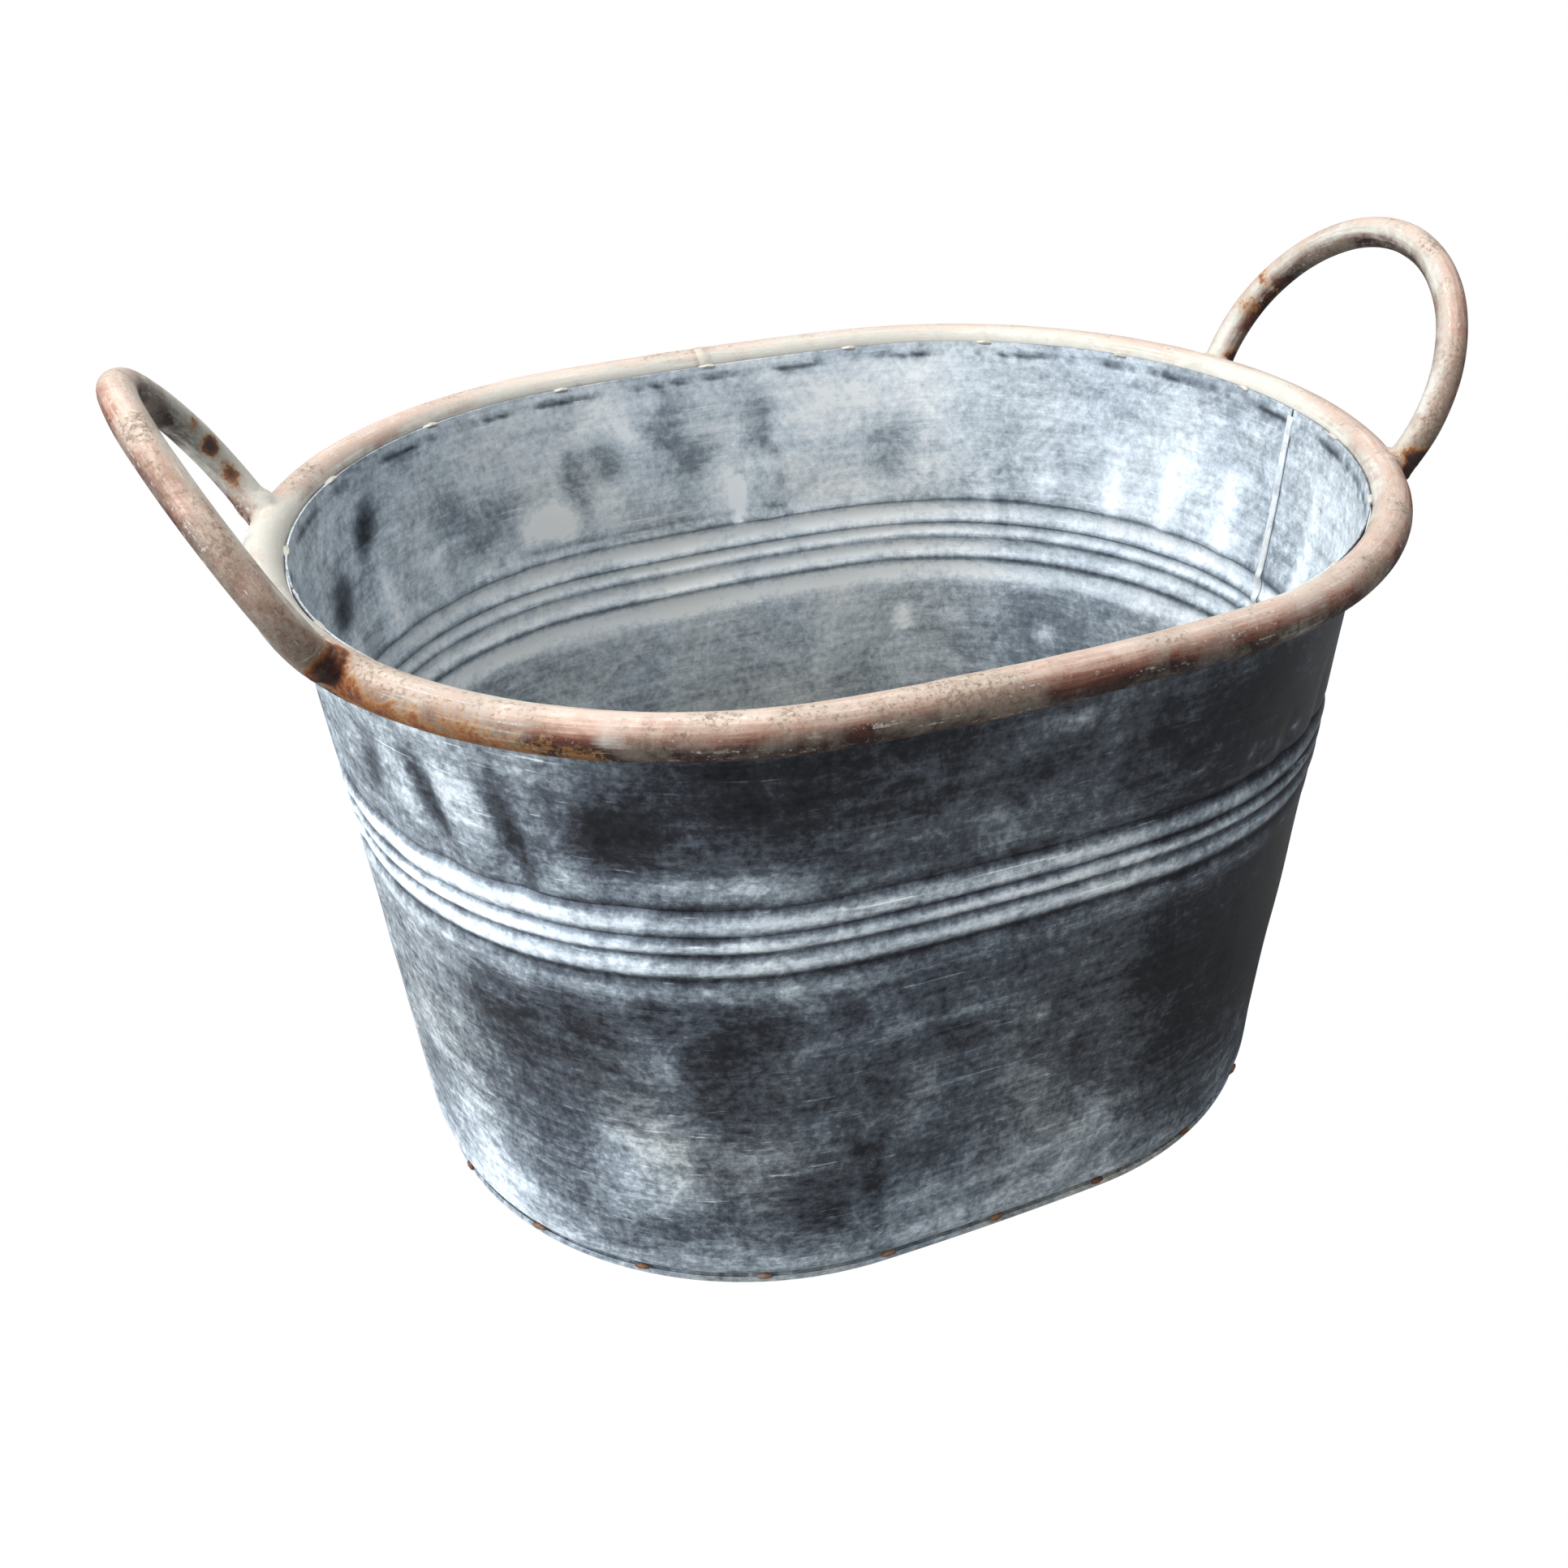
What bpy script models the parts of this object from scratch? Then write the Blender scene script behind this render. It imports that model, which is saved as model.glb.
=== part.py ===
"""Oval florist bucket of zinc-coated sheet with a tubular steel hoop and two leaning tube handles.

Metres, +Z up, +X along the oval's long axis. The origin is on the floor under the middle of the bucket.
Two wall sheets lap at the oval's ends, a flanged pan closes the bottom, a bent tube hoop stiffens the
mouth, and weld beads and tacks join them. Every pair of touching pieces keeps GAP between them.
"""

import math

import bmesh
import bpy
from mathutils import Vector

GAP = 0.0003                  # clearance between two pieces that touch

# Hoop: round tube, bent to a four-arc oval and butt-welded at the middle of the back
HOOP_HALF_LENGTH = 0.1700     # tube centre-line, along X
HOOP_HALF_WIDTH = 0.1285      # tube centre-line, along Y
HOOP_SIDE_RADIUS = 0.6230     # bend of the two long sides
HOOP_HEIGHT = 0.2045          # tube centre-line above the floor
HOOP_TUBE_RADIUS = 0.0061
HOOP_TUBE_WALL = 0.0012
HOOP_SEAT_GAP = 0.0004        # hoop to wall sheet
HOOP_JOINT_LENGTH = 0.0020    # weld metal between the hoop's two ends

# Wall: sheet rolled to a cone between the base oval and the hoop
BASE_HALF_LENGTH = 0.1460
BASE_HALF_WIDTH = 0.1117
BASE_SIDE_RADIUS = 1.1300
SHEET = 0.0006
LIP_RISE = 0.0018             # sheet's raw top edge above the hoop's centre-line
TUCK = 0.0008                 # how far the lower edge is turned in
TUCK_HEIGHT = 0.0022

# Swaged band: creases pressed inward, with rounded beads between them
BAND_TOP = 0.1465             # height of the highest crease
BEAD_HEIGHTS = (0.0091, 0.0059, 0.0085)
CREASE_DEPTH = 0.0008
BEAD_PROUD = 0.0007
SOFT_BEAD_HEIGHT = 0.0100     # shallow roll below the lowest crease
SOFT_BEAD_PROUD = 0.0003
BAND_FADE = 0.0040            # blend from the highest crease to the plain wall

# Lap seams at the two ends: the front sheet steps out over the back sheet
LAP_WIDTH = 0.0080
JOGGLE = 0.0030               # length of the step
NOTCH_DROP = 0.0012           # lap tab ends this far below the hoop tube
SOLDER_WIDTH = 0.0024
SOLDER_THICKNESS = 0.0008

# Bottom pan: recessed plate, flange down inside the wall, lip turned out under the wall's edge
PAN_HEIGHT = 0.0090           # plate's upper face above the floor
PAN_SHEET = 0.0008
LIP_HEIGHT = 0.0022
GROOVE = 0.0024               # lip to the wall's lower edge, where the tack welds sit

# Handles: loops of round tube that lean outward, each bent by hand to its own curve
HANDLE_TUBE_RADIUS = 0.00485
HANDLE_TUBE_WALL = 0.0010
HANDLES = {
    "left": {
        "side": -1,
        "half_width": 0.0555,     # bow at its widest
        "rise": 0.0397,           # from the widest level to the top
        "widest": 0.0214,         # widest level above the feet
        "taper": 0.278,           # narrowing towards the top
        "lean": math.radians(29.3),
        "foot_out": 0.0072,       # foot outside the hoop's centre-line
        "foot_up": 0.0064,        # foot above the hoop's centre-line
        "end_drop": 0.0045,       # tube runs on this far past its foot
    },
    "right": {
        "side": 1,
        "half_width": 0.0523,
        "rise": 0.0493,
        "widest": 0.0131,
        "taper": 0.048,
        "lean": math.radians(30.0),
        "foot_out": 0.0082,
        "foot_up": 0.0010,
        "end_drop": 0.0020,
    },
}
WELD_FILLET = 0.0034          # bead radius beyond the handle tube

# Tack welds, evenly spaced round each edge
RIM_TACKS = 18
RIM_TACK_SIZE = (0.0024, 0.0011, 0.0010)    # half sizes: along the edge, outward, up
BASE_TACKS = 22
BASE_TACK_SIZE = (0.0026, 0.0010)           # half sizes: along the edge, outward

# Mesh fineness
END_STEPS = 26                # columns round each end arc, an even number
SIDE_STEPS = 8
TUBE_SIDES = 12
HANDLE_STEPS = 26

# Appearance: colour, metallic, roughness
FINISHES = {
    "zinc_sheet": ((0.23, 0.26, 0.29), 0.9, 0.45),
    "aged_steel_tube": ((0.47, 0.36, 0.31), 0.6, 0.5),
    "weld_metal": ((0.24, 0.13, 0.07), 0.6, 0.7),
    "solder": ((0.55, 0.58, 0.60), 0.9, 0.4),
}


def oval(half_length, half_width, side_radius):
    """Four-arc oval: two end arcs and two long side arcs, tangent where they meet."""
    spread = half_length ** 2 + half_width ** 2
    end = (2 * side_radius * half_width - spread) / (2 * (side_radius - half_length))
    meet = math.atan2(side_radius - half_width, half_length - end)
    return {"length": half_length, "width": half_width, "side": side_radius, "end": end, "meet": meet}


HOOP = oval(HOOP_HALF_LENGTH, HOOP_HALF_WIDTH, HOOP_SIDE_RADIUS)
BASE = oval(BASE_HALF_LENGTH, BASE_HALF_WIDTH, BASE_SIDE_RADIUS)
WALL_FOOT = LIP_HEIGHT + GROOVE
WALL_TOP = HOOP_HEIGHT + LIP_RISE
NOTCH = HOOP_HEIGHT - HOOP_TUBE_RADIUS - NOTCH_DROP


def oval_point(shape, turn, outward=0.0):
    """Point where the oval's outward normal is at angle turn, moved outward along it."""
    c = math.cos(turn)
    s = math.sin(turn)
    if math.atan2(abs(s), abs(c)) <= shape["meet"]:
        radius = shape["end"] + outward
        x = shape["length"] - shape["end"] + radius * abs(c)
        y = radius * abs(s)
    else:
        radius = shape["side"] + outward
        x = radius * abs(c)
        y = shape["width"] - shape["side"] + radius * abs(s)
    return Vector((math.copysign(x, c), math.copysign(y, s)))


def turns_round():
    """Normal angles of the columns, once round from the right end, finer on the end arcs."""
    meet = HOOP["meet"]
    marks = [0.0, meet, math.pi - meet, math.pi + meet, 2 * math.pi - meet, 2 * math.pi]
    steps = [END_STEPS // 2, SIDE_STEPS, END_STEPS, SIDE_STEPS, END_STEPS // 2]
    turns = [0.0]
    for start, end, count in zip(marks, marks[1:], steps):
        turns += [start + (end - start) * (k + 1) / count for k in range(count)]
    return turns


def band_rows():
    """Heights and outward relief of the swaged band, from its lower end up."""
    crease = BAND_TOP - sum(BEAD_HEIGHTS)
    rows = [
        (crease - SOFT_BEAD_HEIGHT, 0.0),
        (crease - SOFT_BEAD_HEIGHT / 2, SOFT_BEAD_PROUD),
        (crease, -CREASE_DEPTH),
    ]
    for height in reversed(BEAD_HEIGHTS):
        rows.append((crease + height / 2, BEAD_PROUD))
        crease += height
        rows.append((crease, -CREASE_DEPTH))
    rows.append((BAND_TOP + BAND_FADE, 0.0))
    return rows


def wall_rows():
    """Heights and outward relief of the wall, from its turned-in foot to its raw top edge."""
    foot = [(WALL_FOOT, -TUCK), (WALL_FOOT + TUCK_HEIGHT, 0.0)]
    top = [(NOTCH - 2 * TUCK_HEIGHT, 0.0), (NOTCH, 0.0), (NOTCH + 2 * GAP, 0.0), (WALL_TOP, 0.0)]
    return foot + band_rows() + top


def wall_point(turn, height, outward):
    """Point of the wall's outer face, moved outward, on the cone between base and hoop."""
    low = oval_point(BASE, turn, outward)
    high = oval_point(HOOP, turn, outward - HOOP_TUBE_RADIUS - HOOP_SEAT_GAP)
    spot = low.lerp(high, height / HOOP_HEIGHT)
    return Vector((spot.x, spot.y, height))


def sheet_mesh(columns, rows, kept):
    """Closed sheet SHEET thick. columns[i][j] gives (turn, height, outward) of the outer skin's points."""
    bm = bmesh.new()
    points = {}

    def vertex(i, j, inner):
        if (i, j, inner) not in points:
            turn, height, outward = columns[i][j]
            points[i, j, inner] = bm.verts.new(wall_point(turn, height, outward - SHEET * inner))
        return points[i, j, inner]

    cells = {(i, j) for i in range(len(columns) - 1) for j in range(len(rows) - 1) if kept(i, j)}
    for i, j in sorted(cells):
        ring = [(i, j), (i + 1, j), (i + 1, j + 1), (i, j + 1)]
        bm.faces.new([vertex(*corner, 0) for corner in ring])
        bm.faces.new([vertex(*corner, 1) for corner in reversed(ring)])
        beyond = [(i, j - 1), (i + 1, j), (i, j + 1), (i - 1, j)]
        for k, neighbour in enumerate(beyond):
            if neighbour in cells:
                continue
            start = ring[k]
            end = ring[(k + 1) % 4]
            bm.faces.new([vertex(*end, 0), vertex(*start, 0), vertex(*start, 1), vertex(*end, 1)])
    return bm


def skin(bm, rings, inward=False, closed=False):
    """Quads between successive rings; each ring is a closed row of vertices."""
    pairs = list(zip(rings, rings[1:]))
    if closed:
        pairs.append((rings[-1], rings[0]))
    for near, far in pairs:
        count = len(near)
        for k in range(count):
            after = (k + 1) % count
            corners = [near[k], far[k], far[after], near[after]]
            bm.faces.new(corners[::-1] if inward else corners)


def tube_mesh(frames, radius, bore=0.0, closed=False):
    """Tube along frames of (centre, first, second), where first x second points back along the path."""
    bm = bmesh.new()

    def ring_of(centre, first, second, size):
        ring = []
        for k in range(TUBE_SIDES):
            angle = 2 * math.pi * k / TUBE_SIDES
            ring.append(bm.verts.new(centre + size * (math.cos(angle) * first + math.sin(angle) * second)))
        return ring

    outer = [ring_of(*frame, radius) for frame in frames]
    skin(bm, outer, closed=closed)
    if closed:
        return bm
    if bore:
        inner = [ring_of(*frame, bore) for frame in frames]
        skin(bm, inner, inward=True)
        skin(bm, [inner[0], outer[0]])
        skin(bm, [outer[-1], inner[-1]])
    else:
        bm.faces.new(outer[0])
        bm.faces.new(outer[-1][::-1])
    return bm


def material(name):
    """Principled material for one finish."""
    colour, metallic, roughness = FINISHES[name]
    made = bpy.data.materials.new(name)
    made.use_nodes = True
    shader = made.node_tree.nodes["Principled BSDF"]
    shader.inputs["Base Color"].default_value = (*colour, 1.0)
    shader.inputs["Metallic"].default_value = metallic
    shader.inputs["Roughness"].default_value = roughness
    return made


def piece(name, bm, finish, origin=(0.0, 0.0, 0.0)):
    """Object from a bmesh made in world places, with its own material and its origin moved to origin."""
    origin = Vector(origin)
    bmesh.ops.translate(bm, verts=bm.verts, vec=-origin)
    mesh = bpy.data.meshes.new(name)
    bm.to_mesh(mesh)
    bm.free()
    mesh.shade_smooth()
    mesh.set_sharp_from_angle(angle=math.radians(40))
    made = bpy.data.objects.new(name, mesh)
    made.location = origin
    made.data.materials.append(material(finish))
    bpy.context.scene.collection.objects.link(made)
    return made


def cutter(name, bm, origin=(0.0, 0.0, 0.0)):
    """Hidden wire guide that other pieces are cut with."""
    made = piece(name, bm, "zinc_sheet", origin)
    made.hide_render = True
    made.display_type = "WIRE"
    return made


def cut(target, tool):
    """Exact Boolean difference, left live on the target."""
    boolean = target.modifiers.new("cut_" + tool.name, "BOOLEAN")
    boolean.operation = "DIFFERENCE"
    boolean.solver = "EXACT"
    boolean.object = tool


def seam_turn(width):
    """Angle that an arc of this width takes at the hoop's ends."""
    return width / HOOP["end"]


def make_wall_back():
    """Back sheet: plain half cone whose ends stop on the two seam lines."""
    rows = wall_rows()
    turns = [turn for turn in turns_round() if turn < math.pi + 1e-6]
    columns = [[(turn, height, relief) for height, relief in rows] for turn in turns]
    return piece("wall_back", sheet_mesh(columns, rows, lambda i, j: True), "zinc_sheet")


def make_wall_front():
    """Front sheet: half cone whose ends step out and lap the back sheet from outside."""
    rows = wall_rows()
    turns = [turn for turn in turns_round() if turn > math.pi + 1e-6 and turn < 2 * math.pi - 1e-6]
    step = seam_turn(JOGGLE)
    edge = seam_turn(GAP)
    lap = seam_turn(LAP_WIDTH)
    body = [turn for turn in turns if math.pi + step < turn < 2 * math.pi - step]
    left = [math.pi - lap, math.pi + edge, math.pi + step]
    right = [2 * math.pi - step, 2 * math.pi - edge, 2 * math.pi + lap]
    shift = SHEET + GAP
    places = [(turn, shift) for turn in left[:2]] + [(left[2], 0.0)]
    places += [(turn, 0.0) for turn in body]
    places += [(right[0], 0.0)] + [(turn, shift) for turn in right[1:]]
    columns = []
    for turn, out in places:
        columns.append([(turn, height, relief + (out if height <= NOTCH else 0.0)) for height, relief in rows])
    last = len(columns) - 2

    def kept(i, j):
        return i not in (0, last) or rows[j + 1][0] <= NOTCH

    return piece("wall_front", sheet_mesh(columns, rows, kept), "zinc_sheet")


def make_bottom_pan():
    """Plate with a flange down inside the wall and a lip turned out under the wall's edge."""
    flange = -TUCK - SHEET - GAP
    inside = flange - PAN_SHEET
    profile = [
        (inside, PAN_HEIGHT - PAN_SHEET),
        (inside, 0.0),
        (-TUCK, 0.0),
        (-TUCK, LIP_HEIGHT),
        (flange, LIP_HEIGHT),
        (flange, PAN_HEIGHT),
    ]
    bm = bmesh.new()
    rings = []
    for outward, height in profile:
        rings.append([bm.verts.new(wall_point(turn, height, outward)) for turn in turns_round()[:-1]])
    skin(bm, rings, inward=True)
    bm.faces.new(rings[0][::-1])
    bm.faces.new(rings[-1])
    return piece("bottom_pan", bm, "zinc_sheet")


def hoop_frames(turns):
    """Centre and cross-section axes of the hoop at each normal angle."""
    frames = []
    for turn in turns:
        spot = oval_point(HOOP, turn)
        first = Vector((math.cos(turn), math.sin(turn), 0.0))
        frames.append((Vector((spot.x, spot.y, HOOP_HEIGHT)), first, Vector((0.0, 0.0, 1.0))))
    return frames


def make_rim_hoop():
    """Bent tube whose two open ends face each other across the joint at the middle of the back."""
    half = (HOOP_JOINT_LENGTH / 2 + GAP) / HOOP["side"]
    start = math.pi / 2
    turns = [turn for turn in turns_round()[:-1] if abs(turn - start) > 1e-4]
    after = [turn for turn in turns if turn > start]
    before = [turn + 2 * math.pi for turn in turns if turn < start]
    turns = [start + half] + after + before + [start + 2 * math.pi - half]
    bore = HOOP_TUBE_RADIUS - HOOP_TUBE_WALL
    return piece("rim_hoop", tube_mesh(hoop_frames(turns), HOOP_TUBE_RADIUS, bore), "aged_steel_tube")


def make_hoop_joint():
    """Ring of weld metal that fills the butt joint, ground flush with the tube."""
    half = HOOP_JOINT_LENGTH / 2 / HOOP["side"]
    frames = hoop_frames([math.pi / 2 - half, math.pi / 2 + half])
    bore = HOOP_TUBE_RADIUS - HOOP_TUBE_WALL
    return piece("hoop_joint_weld", tube_mesh(frames, HOOP_TUBE_RADIUS, bore), "weld_metal", frames[0][0])


def handle_turn(handle, height):
    """Angle of the handle's bow at a height above its feet."""
    return math.asin((height - handle["widest"]) / handle["rise"])


def handle_spot(handle, turn):
    """Half-width and height of the handle's centre-line in its own leaning plane."""
    across = handle["half_width"] * math.cos(turn) * (1 - handle["taper"] * math.sin(turn))
    return Vector((across, handle["widest"] + handle["rise"] * math.sin(turn)))


def handle_foot(handle):
    """World place of a handle's +Y foot, set from the hoop where the foot stands."""
    y = handle_spot(handle, handle_turn(handle, 0.0)).x
    reach = math.sqrt(HOOP["end"] ** 2 - y ** 2)
    x = HOOP["length"] - HOOP["end"] + reach + handle["foot_out"]
    return Vector((handle["side"] * x, y, HOOP_HEIGHT + handle["foot_up"]))


def handle_frames(handle, from_turn, to_turn, steps):
    """Frames along the handle's centre-line; the first axis points out of the loop."""
    foot = handle_foot(handle)
    up = Vector((handle["side"] * math.sin(handle["lean"]), 0.0, math.cos(handle["lean"])))
    along_y = Vector((0.0, 1.0, 0.0))
    base = Vector((foot.x, 0.0, foot.z))
    nudge = 1e-4
    frames = []
    for k in range(steps + 1):
        turn = from_turn + (to_turn - from_turn) * k / steps
        here = handle_spot(handle, turn)
        ahead = handle_spot(handle, turn + nudge) - handle_spot(handle, turn - nudge)
        tangent = (ahead.x * along_y + ahead.y * up).normalized()
        outward = tangent.cross(along_y.cross(up)).normalized()
        centre = base + here.x * along_y + here.y * up
        frames.append((centre, outward, outward.cross(tangent)))
    return frames


def make_handle(side, hoop_tool):
    """Open-ended tube bent to a leaning loop, its ends saddled to the hoop."""
    handle = HANDLES[side]
    low = handle_turn(handle, -handle["end_drop"])
    frames = handle_frames(handle, low, math.pi - low, HANDLE_STEPS)
    bore = HANDLE_TUBE_RADIUS - HANDLE_TUBE_WALL
    made = piece("handle_" + side, tube_mesh(frames, HANDLE_TUBE_RADIUS, bore), "aged_steel_tube")
    cut(made, hoop_tool)
    return made


def ball(centre, half_sizes, axes, segments=8, rings=5):
    """Rounded lump with its own half sizes along three axes."""
    bm = bmesh.new()
    bmesh.ops.create_uvsphere(bm, u_segments=segments, v_segments=rings, radius=1.0)
    for vert in bm.verts:
        local = vert.co.copy()
        vert.co = centre + sum((local[k] * half_sizes[k] * axes[k] for k in range(3)), Vector())
    return bm


def make_handle_welds(side, hoop_tool):
    """Fillet bead round each foot of a handle."""
    handle = HANDLES[side]
    low = handle_turn(handle, -handle["end_drop"])
    foot_turn = handle_turn(handle, 0.0)
    tool_frames = handle_frames(handle, low - 0.12, math.pi - low + 0.12, HANDLE_STEPS + 4)
    tool = cutter("tool_handle_" + side, tube_mesh(tool_frames, HANDLE_TUBE_RADIUS + GAP))
    for name, turn in (("back", foot_turn), ("front", math.pi - foot_turn)):
        centre, outward, second = handle_frames(handle, turn, turn, 1)[0]
        path = outward.cross(second)
        reach = HANDLE_TUBE_RADIUS + WELD_FILLET
        sizes = (reach, reach, WELD_FILLET * 1.2)
        bm = ball(centre, sizes, (outward, second, path), segments=16, rings=9)
        bead = piece("handle_weld_" + side + "_" + name, bm, "weld_metal", centre)
        cut(bead, hoop_tool)
        cut(bead, tool)


def make_seam_solder(side, turn):
    """Thin solder run that covers the lap's inner edge, from the pan to just below the wall's top."""
    start = PAN_HEIGHT + GAP
    rows = [row for row in wall_rows()[:-1] if row[0] > start]
    rows = [(start, 0.0)] + rows + [(WALL_TOP - SOLDER_THICKNESS, 0.0)]
    half = seam_turn(SOLDER_WIDTH / 2)
    under = -SHEET - GAP
    bm = bmesh.new()
    rings = []
    for height, relief in rows:
        crown = relief + under - SOLDER_THICKNESS
        corners = [(turn + half, relief + under), (turn - half, relief + under)]
        corners += [(turn - half / 2, crown), (turn + half / 2, crown)]
        rings.append([bm.verts.new(wall_point(at, height, out)) for at, out in corners])
    skin(bm, rings)
    bm.faces.new(rings[0])
    bm.faces.new(rings[-1][::-1])
    return piece("seam_solder_" + side, bm, "solder", wall_point(turn, rows[0][0], under))


def spaced_turns(shape, count):
    """Normal angles at equal distances round an oval."""
    fine = [2 * math.pi * k / 3600 for k in range(3601)]
    spots = [oval_point(shape, turn) for turn in fine]
    travelled = [0.0]
    for near, far in zip(spots, spots[1:]):
        travelled.append(travelled[-1] + (far - near).length)
    found = []
    for k in range(count):
        goal = travelled[-1] * (k + 0.5) / count
        nearest = min(range(len(fine)), key=lambda n: abs(travelled[n] - goal))
        found.append(fine[nearest])
    return found


def make_tack(name, centre, turn, sizes):
    """One tack weld, long along the edge that it joins."""
    outward = Vector((math.cos(turn), math.sin(turn), 0.0))
    up = Vector((0.0, 0.0, 1.0))
    bm = ball(centre, sizes, (outward.cross(up), outward, up))
    piece(name, bm, "weld_metal", centre)


def make_rim_tacks():
    """Tacks in the valley between the wall's top edge and the hoop."""
    _, out, up = RIM_TACK_SIZE
    centre_out = -HOOP_TUBE_RADIUS - HOOP_SEAT_GAP - SHEET / 2
    clear = HOOP_TUBE_RADIUS + GAP + out
    rise = max(LIP_RISE + GAP + up, math.sqrt(max(clear ** 2 - centre_out ** 2, 0.0)))
    for k, turn in enumerate(spaced_turns(HOOP, RIM_TACKS)):
        spot = oval_point(HOOP, turn, centre_out)
        centre = Vector((spot.x, spot.y, HOOP_HEIGHT + rise))
        make_tack(f"rim_tack_{k + 1:02d}", centre, turn, RIM_TACK_SIZE)


def make_base_tacks():
    """Tacks in the groove between the wall's turned-in edge and the pan's lip."""
    along, out = BASE_TACK_SIZE
    flange = -TUCK - SHEET - GAP
    height = LIP_HEIGHT + GROOVE / 2
    for k, turn in enumerate(spaced_turns(BASE, BASE_TACKS)):
        centre = wall_point(turn, height, flange + GAP + out)
        make_tack(f"base_tack_{k + 1:02d}", centre, turn, (along, out, GROOVE / 2 - GAP))


def main():
    for old in list(bpy.data.objects):
        bpy.data.objects.remove(old, do_unlink=True)
    make_wall_front()
    make_wall_back()
    make_bottom_pan()
    make_rim_hoop()
    make_hoop_joint()
    ring = hoop_frames(turns_round()[:-1])
    hoop_tool = cutter("tool_hoop", tube_mesh(ring, HOOP_TUBE_RADIUS + GAP, closed=True))
    for side in HANDLES:
        make_handle(side, hoop_tool)
        make_handle_welds(side, hoop_tool)
    make_seam_solder("right", 0.0)
    make_seam_solder("left", math.pi)
    make_rim_tacks()
    make_base_tacks()


main()
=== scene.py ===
# %% [markdown]
# # Oval florist bucket of weathered zinc sheet
# The bucket is two rolled sheets of zinc-coated steel, closed below by a flanged pan and stiffened at the
# mouth by a bent tube hoop. Two tube handles are welded on. Each cell models one piece the way a hand
# would in edit mode, or mixes one finish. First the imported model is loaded: it fixes every size and place.

# %% Load the frame
import math
import bpy
import numpy as np
from mathutils import Matrix, Vector, noise


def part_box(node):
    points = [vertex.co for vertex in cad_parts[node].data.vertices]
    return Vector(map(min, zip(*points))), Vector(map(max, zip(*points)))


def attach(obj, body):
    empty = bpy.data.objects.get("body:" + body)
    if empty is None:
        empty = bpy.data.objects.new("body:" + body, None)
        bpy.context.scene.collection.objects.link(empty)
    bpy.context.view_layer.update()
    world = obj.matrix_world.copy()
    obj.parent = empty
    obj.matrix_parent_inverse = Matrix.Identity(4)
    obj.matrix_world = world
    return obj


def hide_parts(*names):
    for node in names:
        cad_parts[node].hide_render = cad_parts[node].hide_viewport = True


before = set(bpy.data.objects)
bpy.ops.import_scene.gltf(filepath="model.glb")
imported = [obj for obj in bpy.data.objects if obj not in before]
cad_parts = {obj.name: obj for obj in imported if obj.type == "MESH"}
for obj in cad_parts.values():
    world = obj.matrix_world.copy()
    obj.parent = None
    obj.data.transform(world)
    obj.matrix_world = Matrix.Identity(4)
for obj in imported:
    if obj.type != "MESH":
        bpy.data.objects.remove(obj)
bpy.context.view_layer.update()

# %% [markdown]
# ## Sizes
# The tube's radius and the hoop's place are measured on the CAD hoop. The oval is four arcs: two tight
# end arcs and two long flat sides, drawn as a tinsmith draws one, from four compass centres.

# %% Sizes in metres
MM = 0.001
hoop_low, hoop_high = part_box("rim_hoop")
TUBE = (hoop_high.z - hoop_low.z) / 2
HOOP_Z = (hoop_high.z + hoop_low.z) / 2
SHEET = 0.6 * MM
SEAT = 0.4 * MM             # hoop to wall sheet
FOOT_Z = 4.6 * MM           # wall's lower edge
TOP_Z = HOOP_Z + 1.8 * MM   # wall's raw upper edge
TUCK = 0.8 * MM
TUCK_RISE = 2.2 * MM


def oval(length, width, side):
    """Four-arc oval from its half length, half width and the radius of its long sides."""
    end = (2 * side * width - length ** 2 - width ** 2) / (2 * (side - length))
    return {"length": length, "width": width, "side": side, "end": end,
            "meet": math.atan2(side - width, length - end)}


HOOP = oval(hoop_high.x - TUBE, hoop_high.y - TUBE, 0.6230)
BASE = oval(0.1460, 0.1117, 1.1300)
print("tube radius", round(TUBE / MM, 2), "mm, hoop end radius", round(HOOP["end"] / MM, 1), "mm")


# %% [markdown]
# ## Small helpers
# An operator acts on everything that is selected, so each step first clears the selection. `oval_point`
# gives a point of an oval from the angle of its outward normal, which is called `turn` all through:
# 0 is the right end, 90 degrees the middle of the back, -90 degrees the middle of the front. Edges that
# turn by more than `SHARP` stay crisp under smooth shading.

# %% Helpers
SHARP = math.radians(50)


def only(piece):
    """Leaves edit mode and makes piece the one thing selected."""
    if bpy.context.mode != "OBJECT":
        bpy.ops.object.mode_set(mode="OBJECT")
    bpy.ops.object.select_all(action="DESELECT")
    piece.select_set(True)
    bpy.context.view_layer.objects.active = piece
    return piece


def edit(kind="VERT"):
    """Enters edit mode, picking vertices, edges or faces."""
    bpy.ops.object.mode_set(mode="EDIT")
    bpy.ops.mesh.select_mode(type=kind)


def nothing():
    """Clears the selection, ready for a new primitive."""
    if bpy.context.mode != "OBJECT":
        bpy.ops.object.mode_set(mode="OBJECT")
    bpy.ops.object.select_all(action="DESELECT")


def newest(name):
    """Names the primitive just added and puts its place into its mesh."""
    piece = bpy.context.object
    piece.name = name
    piece.data.name = name
    only(piece)
    bpy.ops.object.transform_apply(location=True, rotation=True, scale=True)
    return piece


def push(piece, amount):
    """Moves every vertex along its own normal by amount(place)."""
    normals = [vertex.normal.copy() for vertex in piece.data.vertices]
    for vertex, normal in zip(piece.data.vertices, normals):
        vertex.co += normal * amount(vertex.co.copy())


def modify(piece, kind, **settings):
    """Adds a modifier with its settings to the active piece and applies it."""
    made = piece.modifiers.new(kind.lower(), kind)
    for name, value in settings.items():
        setattr(made, name, value)
    bpy.ops.object.modifier_apply(modifier=made.name)


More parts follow.
